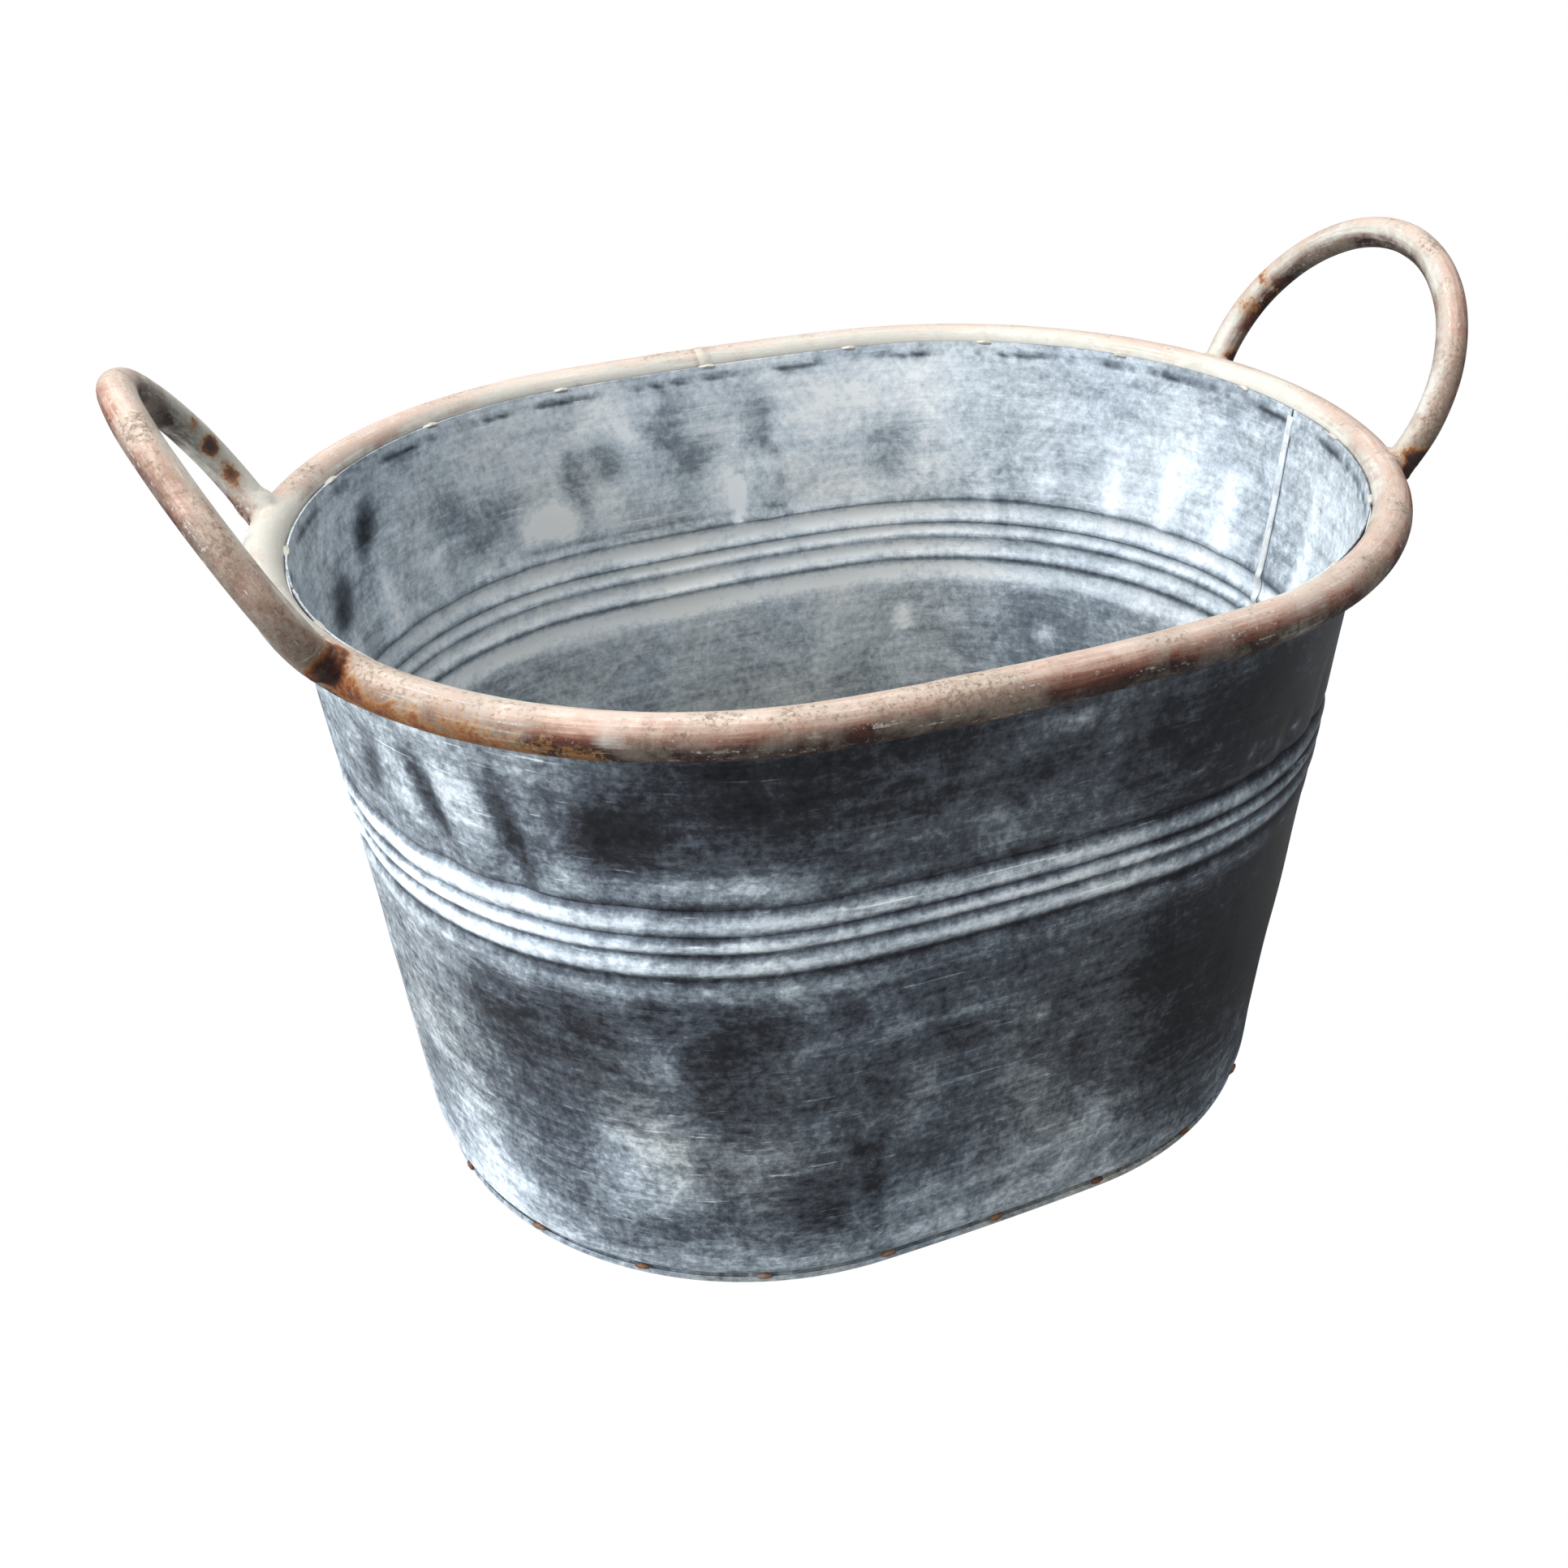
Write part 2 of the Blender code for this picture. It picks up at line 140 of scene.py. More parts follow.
def seal(piece):
    """Merges doubled vertices and turns the faces of a closed mesh outwards."""
    only(piece)
    edit()
    bpy.ops.mesh.select_all(action="SELECT")
    bpy.ops.mesh.remove_doubles(threshold=0.01 * MM)
    bpy.ops.mesh.normals_make_consistent(inside=False)
    bpy.ops.object.mode_set(mode="OBJECT")


def bevelled_line(name, places, radius, resolution):
    """Round rod along a line of places: a curve with a bevel and closed ends, made a mesh."""
    nothing()
    bpy.ops.curve.primitive_bezier_curve_add(location=(0, 0, 0))
    curve = bpy.context.object
    curve.data.dimensions = "3D"
    curve.data.splines.clear()
    spline = curve.data.splines.new("POLY")
    spline.points.add(len(places) - 1)
    for point, place in zip(spline.points, places):
        point.co = (*place, 1.0)
    curve.data.bevel_depth = radius
    curve.data.bevel_resolution = resolution
    curve.data.use_fill_caps = True
    bpy.ops.object.convert(target="MESH")
    return newest(name)


def pick(piece, kind, test):
    """Enters edit mode with only the faces or edges whose middle passes test selected."""
    only(piece)
    edit(kind)
    bpy.ops.mesh.select_all(action="DESELECT")
    bpy.ops.object.mode_set(mode="OBJECT")
    mesh = piece.data
    for item in mesh.polygons if kind == "FACE" else mesh.edges:
        corners = [mesh.vertices[i].co for i in item.vertices]
        item.select = test(sum(corners, Vector()) / len(corners))
    edit(kind)


def oval_point(shape, turn, outward=0.0):
    """Point of an oval where its outward normal is at angle turn, moved outward along it."""
    c, s = math.cos(turn), math.sin(turn)
    if math.atan2(abs(s), abs(c)) <= shape["meet"]:
        radius = shape["end"] + outward
        x, y = shape["length"] - shape["end"] + radius * abs(c), radius * abs(s)
    else:
        radius = shape["side"] + outward
        x, y = radius * abs(c), shape["width"] - shape["side"] + radius * abs(s)
    return Vector((math.copysign(x, c), math.copysign(y, s)))


def wall_point(turn, height, outward=0.0):
    """Point of the wall's outer face on the cone between the base oval and the hoop."""
    low = oval_point(BASE, turn, outward)
    high = oval_point(HOOP, turn, outward - TUBE - SEAT)
    spot = low.lerp(high, height / HOOP_Z)
    return Vector((spot.x, spot.y, height))


def walked(turn):
    """Distance along the oval from the middle of the nearer long side, growing with turn."""
    end, side, meet = HOOP["end"], HOOP["side"], HOOP["meet"]
    middle = math.copysign(math.pi / 2, math.sin(turn)) if abs(math.sin(turn)) > 1e-9 else math.pi / 2
    off = (turn - middle + math.pi) % (2 * math.pi) - math.pi
    flat = math.pi / 2 - meet
    far = side * min(abs(off), flat) + end * max(abs(off) - flat, 0.0)
    return math.copysign(far, off)


print("quarter of the mouth", round(walked(0.0) / MM), "mm")


# %% [markdown]
# ## Outlines by spinning
# A compass arc is one Spin. A plane merged to its centre leaves a single vertex, and spinning that vertex
# about each arc's centre in turn draws the oval. Spinning a small circle instead of a vertex gives a bent
# tube, which is how the hoop is made further down.

# %% Arc by arc
def arcs(shape, start, end):
    """(centre, angle) of each arc passed on the way round from turn start to turn end."""
    meet = shape["meet"]
    ends = shape["length"] - shape["end"]
    sides = shape["side"] - shape["width"]
    marks = [start]
    for k in range(-2, 4):
        marks += [k * math.pi - meet, k * math.pi + meet]
    marks = sorted(m for m in marks if start <= m < end) + [end]
    found = []
    for a, b in zip(marks, marks[1:]):
        if b - a < 1e-7:
            continue
        middle = (a + b) / 2
        c, s = math.cos(middle), math.sin(middle)
        if math.atan2(abs(s), abs(c)) <= meet:
            centre = (math.copysign(ends, c), 0.0)
        else:
            centre = (0.0, -math.copysign(sides, s))
        found.append((centre, b - a))
    return found


def spin_round(shape, start, end, height, steps):
    """Spins what is selected along an oval; steps lists how many cuts each arc gets."""
    for (centre, angle), count in zip(arcs(shape, start, end), steps):
        bpy.ops.mesh.spin(steps=count, angle=-angle, center=(*centre, height), axis=(0, 0, 1))


def outline(shape, start, end, height, steps, outward=0.0):
    """In edit mode: one vertex spun along an oval at this height."""
    bpy.ops.mesh.select_all(action="DESELECT")
    spot = oval_point(shape, start, outward)
    bpy.ops.mesh.primitive_plane_add(size=MM, location=(spot.x, spot.y, height))
    bpy.ops.mesh.merge(type="CENTER")
    spin_round(shape, start, end, height, steps)


# %% [markdown]
# ## The wall's swaged band
# The band is rolled into the flat sheet before it is bent round: creases pressed inward with rounded
# beads between them. Where the sheet is then pulled round the tight ends, the metal above the band has
# nowhere to go and puckers. Both are shapes, so both are real relief here and catch the light as they do.

# %% Relief of the sheet
BAND_TOP = 146.5 * MM
BEADS = [9.1 * MM, 5.9 * MM, 8.5 * MM]          # heights, from the top one down
CREASE = 0.9 * MM
PROUD = 0.75 * MM
PUCKERS = [                                     # turn in degrees, half width, top, depth in millimetres
    (11, 5.5, 176, 1.3), (23.5, 5.0, 173, 1.3), (34.5, 5.0, 172, 1.3), (47.5, 5.0, 166, 0.9),
    (58, 4.0, 160, 0.5), (70, 3.0, 164, 0.8), (88.5, 2.6, 176, 1.1), (110, 4.0, 162, 0.6),
    (124, 5.0, 168, 0.8), (137, 6.0, 176, 1.2), (150, 6.0, 178, 1.3), (164, 6.0, 178, 1.2),
    (-164, 6.5, 182, 1.4), (-151, 6.5, 182, 1.6), (-138.5, 6.0, 184, 1.5), (-124, 8.0, 172, 1.1),
    (-109, 6.0, 160, 0.5), (-72, 4.0, 160, 0.7), (-64, 4.5, 162, 1.0), (-52, 5.0, 168, 1.0),
    (-39, 5.5, 172, 1.2), (-26, 5.5, 174, 1.3), (-13, 5.5, 176, 1.3),
]


def band(height):
    """Outward relief of the swaged band at one height."""
    top = BAND_TOP
    if top < height < top + 4 * MM:
        fade = 1 - (height - top) / (4 * MM)
        return -CREASE * 0.8 * fade ** 2
    for k, bead in enumerate(BEADS):
        if top - bead <= height <= top:
            share = (top - height) / bead
            return -CREASE + (PROUD + CREASE) * math.sin(math.pi * share) ** 0.75
        top -= bead
    soft = 10 * MM
    if top - soft <= height < top:
        share = (top - height) / soft
        return -CREASE * (1 - share) ** 6 + 0.35 * MM * math.sin(math.pi * share)
    return 0.0


def puckers(turn, height):
    """Vertical pinches above the band where the sheet is pulled round the ends."""
    total = 0.0
    for degrees, half, top, depth in PUCKERS:
        off = (turn - math.radians(degrees) + math.pi) % (2 * math.pi) - math.pi
        along = off * HOOP["end"] if abs(math.cos(turn)) > 0.13 else off * HOOP["side"]
        rise = (height - BAND_TOP) / (top * MM - BAND_TOP)
        if rise < -0.35 or rise > 1.15:
            continue
        grown = max(0.0, min(1.0, (rise + 0.35) / 0.5)) * max(0.0, 1 - max(rise, 0.0) ** 2 / 1.3)
        width = half * MM * (1 - 0.45 * max(0.0, rise))
        total -= depth * MM * grown * math.exp(-(along / width) ** 2)
    return total


def dents(turn, height):
    """Slow hand-made waviness of thin sheet, and a softer hollow above the band at the left."""
    spot = wall_point(turn, height)
    slow = noise.noise(spot * 14.0) * 0.9 + noise.noise(spot * 34.0 + Vector((3, 1, 7))) * 0.35
    left = math.exp(-((abs(turn) - math.pi) / 0.8) ** 2) * math.exp(-((height - 0.165) / 0.02) ** 2)
    return (slow - 0.5 * left) * MM * min(1.0, (TOP_Z - height) / (25 * MM)) * min(1.0, height / (20 * MM))


def relief(turn, height):
    """Everything that moves the sheet off its plain cone."""
    soft = 0.82 + 0.25 * noise.noise(Vector((math.cos(turn) * 3, math.sin(turn) * 3, height * 60)))
    total = band(height) * soft + puckers(turn, height) + dents(turn, height)
    if height < FOOT_Z + TUCK_RISE:
        total -= TUCK * (1 - (height - FOOT_Z) / TUCK_RISE) ** 1.5
    return total


print("band from", round((BAND_TOP - sum(BEADS)) / MM, 1), "to", BAND_TOP / MM, "mm")
print(len(PUCKERS), "puckers")

# %% [markdown]
# ## The two wall sheets
# Each sheet is half of a tapered oval. Two spun outlines, one on the floor and one at the hoop, are
# bridged with a ring of cuts for every level of the band. The rings are then set to their heights and
# moved by the relief, as the swage rolls and the bending do to a flat sheet. The front sheet is 8 mm
# longer at each end and steps out over the back one, so the seams really lap. Solidify gives the sheet
# its 0.6 mm, inward.

# %% Sheets
LAP = 8.0 * MM / HOOP["end"]
STEP = 3.0 * MM / HOOP["end"]
NOTCH_Z = HOOP_Z - TUBE - 1.2 * MM              # a lap tab ends just below the hoop
levels = [FOOT_Z + 0.55 * MM * k for k in range(5)]         # tucked-in foot
levels += [0.0105 + 0.0045 * k for k in range(23)]          # plain wall
levels += [0.1122 + 0.0007 * k for k in range(56)]          # band, cut finely
levels += [0.1530 + 0.0022 * k for k in range(14)]          # puckers
levels += [0.1870 + 0.0040 * k for k in range(3)]           # plain wall again, then the laps' ends and top
levels += [NOTCH_Z, NOTCH_Z + 0.6 * MM, 0.2005, 0.2018, 0.2030, HOOP_Z, TOP_Z]


def joggle(turn, height):
    """How far the front sheet steps out at a seam to lap the back sheet."""
    if height > NOTCH_Z + 1e-5:
        return 0.0
    inside = math.asin(max(-1.0, min(1.0, -math.sin(turn))))    # angle in front of the nearer seam
    return (SHEET + 0.3 * MM) * max(0.0, min(1.0, 1 - inside / STEP))


def sheet_turn(spot, normal):
    """Turn of a point of the plain cone: exact by place on the end arcs, by its normal elsewhere."""
    share = spot.z / HOOP_Z
    ends = (1 - share) * (BASE["length"] - BASE["end"]) + share * (HOOP["length"] - HOOP["end"])
    angle = math.atan2(abs(spot.y), abs(spot.x) - ends)
    if angle > math.radians(60):
        return math.atan2(normal.y, normal.x)
    return math.atan2(math.copysign(math.sin(angle), spot.y), math.copysign(math.cos(angle), spot.x))


def wall_sheet(name, start, end, steps, lapped):
    """Half wall between two turns, with its rings, relief, laps and thickness."""
    nothing()
    bpy.ops.mesh.primitive_plane_add(size=MM, location=(0, 0, 0))
    sheet = newest(name)
    edit()
    bpy.ops.mesh.delete(type="VERT")
    outline(BASE, start, end, 0.0, steps)
    outline(HOOP, start, end, HOOP_Z, steps, -TUBE - SEAT)
    bpy.ops.mesh.select_all(action="SELECT")
    bpy.ops.mesh.bridge_edge_loops(number_cuts=len(levels) - 2, interpolation="LINEAR")
    bpy.ops.object.mode_set(mode="OBJECT")
    mesh = sheet.data
    if sum(f.normal.x * f.center.x + f.normal.y * f.center.y for f in mesh.polygons) < 0:
        mesh.flip_normals()
    turns = [sheet_turn(vertex.co, vertex.normal) for vertex in mesh.vertices]
    for vertex, turn in zip(mesh.vertices, turns):
        height = levels[round(vertex.co.z / HOOP_Z * (len(levels) - 1))]
        out = relief(turn, height) + (joggle(turn, height) if lapped else 0.0)
        vertex.co = wall_point(turn, height, out)
    if lapped:
        pick(sheet, "FACE", lambda spot: spot.y > 0.2 * MM and spot.z > NOTCH_Z)
        bpy.ops.mesh.delete(type="FACE")
        bpy.ops.object.mode_set(mode="OBJECT")
    modify(sheet, "SOLIDIFY", thickness=SHEET, offset=-1)
    bpy.ops.object.shade_smooth_by_angle(angle=SHARP)
    print(name, len(sheet.data.polygons), "faces")
    return sheet


wall_back = wall_sheet("wall_back_sheet", 0.0, math.pi, [62, 28, 62], False)
wall_front = wall_sheet("wall_front_sheet", -math.pi - LAP, LAP, [65, 28, 65], True)

# %% [markdown]
# ## The bottom pan
# A pan closes the bottom: a recessed plate, a flange down inside the wall and a small lip turned out
# under the wall's edge. Its section is drawn once by extruding a vertex, and spun round the oval. The
# plate is then drawn in from its edge ring by ring, and sags a little in the middle.

# %% Pan
PAN_SHEET = 0.8 * MM
PAN_INNER = -TUCK - SHEET - 0.3 * MM            # flange's outer face
section = [(-TUCK - 0.3 * MM, 2.2 * MM), (-TUCK, 1.9 * MM), (-TUCK, 0.3 * MM), (-TUCK - 0.3 * MM, 0.0),
           (PAN_INNER - 0.5 * MM, 0.0), (PAN_INNER - 0.8 * MM, 0.4 * MM), (PAN_INNER - 0.8 * MM, 2.2 * MM),
           (PAN_INNER - 0.8 * MM, 7.3 * MM), (PAN_INNER - 1.6 * MM, 8.2 * MM),
           (PAN_INNER - 8.0 * MM, 8.2 * MM), (PAN_INNER - 10.0 * MM, 7.6 * MM)]
ROUND = [40, 18, 80, 18, 40]                    # cuts of the five arcs of a whole turn


def profile(name, shape, points, start, end, steps):
    """A section drawn vertex by vertex, spun round an oval and closed where it meets itself."""
    nothing()
    outward, height = points[0]
    spot = oval_point(shape, start, outward)
    bpy.ops.mesh.primitive_plane_add(size=MM, location=(spot.x, spot.y, height))
    made = newest(name)
    edit()
    bpy.ops.mesh.select_all(action="SELECT")
    bpy.ops.mesh.merge(type="CENTER")
    facing = Vector((math.cos(start), math.sin(start), 0.0))
    for (a, low), (b, high) in zip(points, points[1:]):
        step = facing * (b - a) + Vector((0, 0, high - low))
        bpy.ops.mesh.extrude_vertices_move(TRANSFORM_OT_translate={"value": step})
    bpy.ops.mesh.select_all(action="SELECT")
    spin_round(shape, start, end, 0.0, steps)
    bpy.ops.mesh.select_all(action="SELECT")
    bpy.ops.mesh.remove_doubles(threshold=0.02 * MM)
    return made


def bottom_pan():
    """Lip, flange and plate in one closed sheet."""
    made = profile("bottom_plate", BASE, section, 0.0, 2 * math.pi, ROUND)
    pick(made, "EDGE", lambda spot: abs(spot.z - section[-1][1]) < 0.01 * MM)
    for share, rise in ((0.86, 0.15), (0.82, 0.1), (0.76, 0.0), (0.68, -0.1), (0.55, -0.2), (0.35, -0.2)):
        bpy.ops.mesh.extrude_edges_move(TRANSFORM_OT_translate={"value": (0, 0, rise * MM)})
        bpy.ops.transform.resize(value=(share, share, 1))
    bpy.ops.mesh.merge(type="CENTER")
    bpy.ops.mesh.select_all(action="SELECT")
    bpy.ops.mesh.normals_make_consistent(inside=False)
    bpy.ops.object.mode_set(mode="OBJECT")
    mesh = made.data
    middle = min(mesh.polygons, key=lambda f: f.center.xy.length)
    if middle.normal.z < 0:
        mesh.flip_normals()
    modify(made, "SOLIDIFY", thickness=PAN_SHEET, offset=1)
    bpy.ops.object.shade_smooth_by_angle(angle=SHARP)
    print(made.name, len(made.data.polygons), "faces")
    return made


bottom = bottom_pan()

# %% [markdown]
# ## The tube hoop
# The hoop is a tube bent to the oval and butt-welded at the middle of the back. A small circle standing
# across the path is spun about each arc's centre, which bends it exactly as a tube bender does. Slow
# noise along the length gives the slight flats and waves that hand bending leaves.

# %% Hoop
HALF_JOINT = 1.3 * MM / HOOP["side"]
SNUG = 0.995                # leaves room for the waves inside the tube's true radius


def place_on_hoop(point):
    """(turn, distance outside the hoop's centre-line) of a point near the hoop."""
    ends = HOOP["length"] - HOOP["end"]
    sides = HOOP["side"] - HOOP["width"]
    x, y = abs(point.x), abs(point.y)
    angle = math.atan2(y, x - ends)
    if angle <= HOOP["meet"]:
        out = math.hypot(x - ends, y) - HOOP["end"]
    else:
        angle = math.atan2(y + sides, x)
        out = math.hypot(x, y + sides) - HOOP["side"]
    turn = math.atan2(math.copysign(math.sin(angle), point.y), math.copysign(math.cos(angle), point.x))
    return turn, out


def bent_tube(name, radius, start, end, steps, sides):
    """Tube spun along the hoop's oval, its two ends closed."""
    spot = oval_point(HOOP, start)
    nothing()
    bpy.ops.mesh.primitive_circle_add(vertices=sides, radius=radius, location=(spot.x, spot.y, HOOP_Z),
                                      rotation=(math.pi / 2, 0, start))
    made = newest(name)
    edit()
    bpy.ops.mesh.select_all(action="SELECT")
    spin_round(HOOP, start, end, HOOP_Z, steps)
    bpy.ops.mesh.select_all(action="DESELECT")
    bpy.ops.mesh.select_non_manifold()
    bpy.ops.mesh.edge_face_add()
    bpy.ops.mesh.select_all(action="SELECT")
    bpy.ops.mesh.normals_make_consistent(inside=False)
    bpy.ops.object.mode_set(mode="OBJECT")
    return made


def uneven(point, turn):
    """Outward move of a hoop vertex: bending waves and small hammered flats."""
    slow = noise.noise(Vector((walked(turn) * 25, math.sin(turn) * 2, 0)))
    fine = noise.noise(point * 90)
    return (0.16 * slow + 0.10 * fine) * MM


hoop = bent_tube("mouth_hoop", TUBE * SNUG, math.pi / 2 + HALF_JOINT, math.pi * 2.5 - HALF_JOINT,
                 [14, 104, 34, 104, 14], 32)
push(hoop, lambda spot: uneven(spot, place_on_hoop(spot)[0]))
only(hoop)
bpy.ops.object.shade_smooth_by_angle(angle=SHARP)
print(hoop.name, len(hoop.data.polygons), "faces")

# %% [markdown]
# ## The two handles
# Each handle is a shorter piece of thinner tube, bent by eye to an egg-shaped bow, so the two differ. A
# curve with a round bevel follows the bow and becomes a mesh. The exact Boolean then saddles its ends to
# the hoop, as a file does before welding.

# %% Handles
GRIP = 4.85 * MM                                # tube radius
handle_shapes = {
    "left": {"side": -1, "half_width": 0.0555, "rise": 0.0397, "widest": 0.0214, "taper": 0.278,
             "lean": math.radians(29.3), "foot_out": 0.0072, "foot_up": 0.0064, "end_drop": 0.0045},
    "right": {"side": 1, "half_width": 0.0523, "rise": 0.0493, "widest": 0.0131, "taper": 0.048,
              "lean": math.radians(30.0), "foot_out": 0.0082, "foot_up": 0.0010, "end_drop": 0.0020},
}


def bow(handle, turn):
    """World point of a handle's centre-line at an angle of its bow."""
    def flat(angle):
        across = handle["half_width"] * math.cos(angle) * (1 - handle["taper"] * math.sin(angle))
        return across, handle["widest"] + handle["rise"] * math.sin(angle)
    foot_y = flat(math.asin(-handle["widest"] / handle["rise"]))[0]
    reach = math.sqrt(HOOP["end"] ** 2 - foot_y ** 2)
    x = HOOP["length"] - HOOP["end"] + reach + handle["foot_out"]
    across, up = flat(turn)
    return Vector((handle["side"] * (x + up * math.sin(handle["lean"])), across,
                   HOOP_Z + handle["foot_up"] + up * math.cos(handle["lean"])))


def bow_turn(handle, up):
    """Angle of the bow at a height above the feet."""
    return math.asin((up - handle["widest"]) / handle["rise"])


def make_handle(name, key):
    """Tube handle with saddled ends."""
    handle = handle_shapes[key]
    low = bow_turn(handle, -handle["end_drop"])
    count = 110
    line = [bow(handle, low + (math.pi - 2 * low) * k / count) for k in range(count + 1)]
    made = bevelled_line(name, line, GRIP * SNUG, 12)
    seal(made)
    push(made, lambda spot: noise.noise(spot * 70) * 0.14 * MM)
    modify(made, "BOOLEAN", operation="DIFFERENCE", solver="EXACT", object=hoop)
    bpy.ops.object.shade_smooth_by_angle(angle=SHARP)
    print(name, len(made.data.polygons), "faces")
    return made


handles = {key: make_handle("handle_" + key + "_tube", key) for key in handle_shapes}

# %% [markdown]
# ## Weld beads at the feet
# A weld fills the corner between two tubes with a smooth, slightly lumpy fillet. A short cone on the
# handle, a stub of the hoop and a rounded lump are joined, turned into one skin by a voxel Remesh and
# smoothed. Smoothing sinks their ends inside the real tubes and leaves the fillet standing in the corner.

# %% Foot fillets
def stub(centre, direction, near_radius, far_radius, length):
    """Short closed cone along a direction, or a cylinder where both radii are the same."""
    nothing()
    turn = direction.to_track_quat("Z", "Y").to_euler()
    bpy.ops.mesh.primitive_cone_add(vertices=32, radius1=near_radius, radius2=far_radius, depth=length,
                                    location=centre, rotation=turn)
    return newest("stub")


def fillet(name, key, front):
    """Weld fillet round one foot of a handle."""
    handle = handle_shapes[key]
    foot = bow_turn(handle, 0.0)
    turn = math.pi - foot if front else foot
    centre = bow(handle, turn)
    ahead = (bow(handle, turn + 0.01) - bow(handle, turn - 0.01)).normalized()
    if front:
        ahead = -ahead
    around, _ = place_on_hoop(centre)
    spot = oval_point(HOOP, around)
    seat = Vector((spot.x, spot.y, HOOP_Z))
    along = Vector((-math.sin(around), math.cos(around), 0.0))
    leg = stub(centre + ahead * 3 * MM, ahead, GRIP + 0.6 * MM, GRIP - 0.9 * MM, 13 * MM)
    rail = stub(seat, along, TUBE, TUBE, 18 * MM)
    nothing()
    bpy.ops.mesh.primitive_ico_sphere_add(subdivisions=4, radius=1.0, location=centre.lerp(seat, 0.22),
                                          scale=(GRIP + 1.1 * MM, GRIP + 1.9 * MM, 4.6 * MM))
    bead = newest(name)
    leg.select_set(True)
    rail.select_set(True)
    bpy.ops.object.join()
    modify(bead, "REMESH", mode="VOXEL", voxel_size=0.55 * MM)
    modify(bead, "SMOOTH", factor=0.5, iterations=48)
    push(bead, lambda spot: (noise.noise(spot * 260) * 0.35 + noise.noise(spot * 620) * 0.15) * MM)
    bpy.ops.object.shade_smooth()
    print(name, len(bead.data.polygons), "faces")
    return bead


fillets = {}
for key in handle_shapes:
    for end in ("front", "back"):
        fillets[key, end] = fillet("foot_weld_" + key + "_" + end, key, end == "front")

# %% [markdown]
# ## Tacks, seam solder and the hoop's joint
# Tack welds are small lumps that froze as they ran. One lump is modelled from a sphere, flattened where
# it lies and roughened, and then copied to every place the CAD gives, each copy with its own mesh, turned
# to lie along the edge. The seams have a run of solder, a rounded strip that follows the band. The hoop's
# butt weld is a short sleeve that stands a little proud of the tube and is filed flush on the outside.

# %% Tacks
def lump(name, half, seed):
    """Frozen drop of weld metal: long along X, with a ragged outline."""
    nothing()
    bpy.ops.mesh.primitive_ico_sphere_add(subdivisions=3, radius=1.0, location=(0, 0, 0))
    made = newest(name)
    for vertex in made.data.vertices:
        spot = vertex.co.copy()
        grown = 1 + 0.28 * noise.noise(spot * 1.6 + Vector((seed, 0, 0))) + 0.1 * noise.noise(spot * 4)
        vertex.co = Vector((spot.x * half[0], spot.y * half[1], spot.z * half[2])) * grown
    bpy.ops.object.shade_smooth()
    return made


def tack(node, name, master):
    """Copy of the lump at a CAD tack's place, along the edge there."""
    low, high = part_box(node)
    centre = (low + high) / 2
    turn = place_on_hoop(centre)[0]
    only(master)
    bpy.ops.object.duplicate()
    made = bpy.context.object
    made.name = name
    made.data.name = name
    spin = 0.25 * noise.noise(centre * 40)
    size = 1 + 0.35 * noise.noise(centre * 55 + Vector((5, 2, 1)))
    if node.startswith("rim"):
        centre += Vector((math.cos(turn), math.sin(turn), 0)) * 0.45 * MM - Vector((0, 0, 1.7 * MM))
    place = Matrix.Translation(centre) @ Matrix.Rotation(turn + math.pi / 2 + spin, 4, "Z")
    made.data.transform(place @ Matrix.Diagonal((size, 1, 1, 1)))
    return made


rim_lump = lump("rim_lump", (3.2 * MM, 1.1 * MM, 0.8 * MM), 1.3)
base_lump = lump("base_lump", (2.3 * MM, 0.85 * MM, 0.85 * MM), 4.1)
tacks = {}
for node in sorted(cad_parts):
    if node.startswith("rim_tack"):
        tacks[node] = tack(node, node.replace("rim_tack", "mouth_tack"), rim_lump)
    if node.startswith("base_tack"):
        tacks[node] = tack(node, node.replace("base_tack", "foot_tack"), base_lump)
bpy.data.objects.remove(rim_lump)
bpy.data.objects.remove(base_lump)
print(len(tacks), "tacks")


# %% Solder runs
def solder_run(name, turn):
    """Rounded strip down the inside of a seam, following the sheet's relief."""
    line = []
    for k in range(163):
        height = 9.5 * MM + 1.2 * MM * k
        wander = 0.4 * MM * noise.noise(Vector((height * 60, turn, 0))) / HOOP["end"]
        line.append(wall_point(turn + wander, height, relief(turn, height) - SHEET))
    made = bevelled_line(name, line, 1.5 * MM, 4)
    facing = Vector((math.cos(turn), math.sin(turn), 0.0))
    for vertex in made.data.vertices:
        height = vertex.co.z
        skin = wall_point(turn, height, relief(turn, height) - SHEET).dot(facing)
        off = vertex.co.dot(facing) - skin
        rough = 0.18 * MM * noise.noise(vertex.co * 350)
        vertex.co += facing * (off * 0.42 - off - 0.05 * MM + rough * 0.5)
    seal(made)
    bpy.ops.object.shade_smooth()
    print(name, len(made.data.polygons), "faces")
    return made


seams = {"right": solder_run("solder_run_right", 0.0), "left": solder_run("solder_run_left", math.pi)}

# %% Hoop joint
HALF_BEAD = 2.4 * HALF_JOINT
joint = bent_tube("hoop_joint_bead", TUBE, math.pi / 2 - HALF_BEAD, math.pi / 2 + HALF_BEAD, [10], 32)


def swell(spot):
    """Crown of the joint's bead: highest at the joint, sunk in at its edges, filed flush on the outside."""
    turn, out = place_on_hoop(spot)
    share = abs(turn - math.pi / 2) / HALF_BEAD
    filed = 1 - min(1.0, max(0.0, 1.15 * out / TUBE))
    crown = 0.32 * math.cos(share * math.pi / 2) + 0.14 * noise.noise(spot * 500)
    return (crown * filed - 0.25 * share ** 3) * MM


push(joint, swell)
only(joint)
bpy.ops.object.shade_smooth_by_angle(angle=SHARP)
print(joint.name, len(joint.data.polygons), "faces")

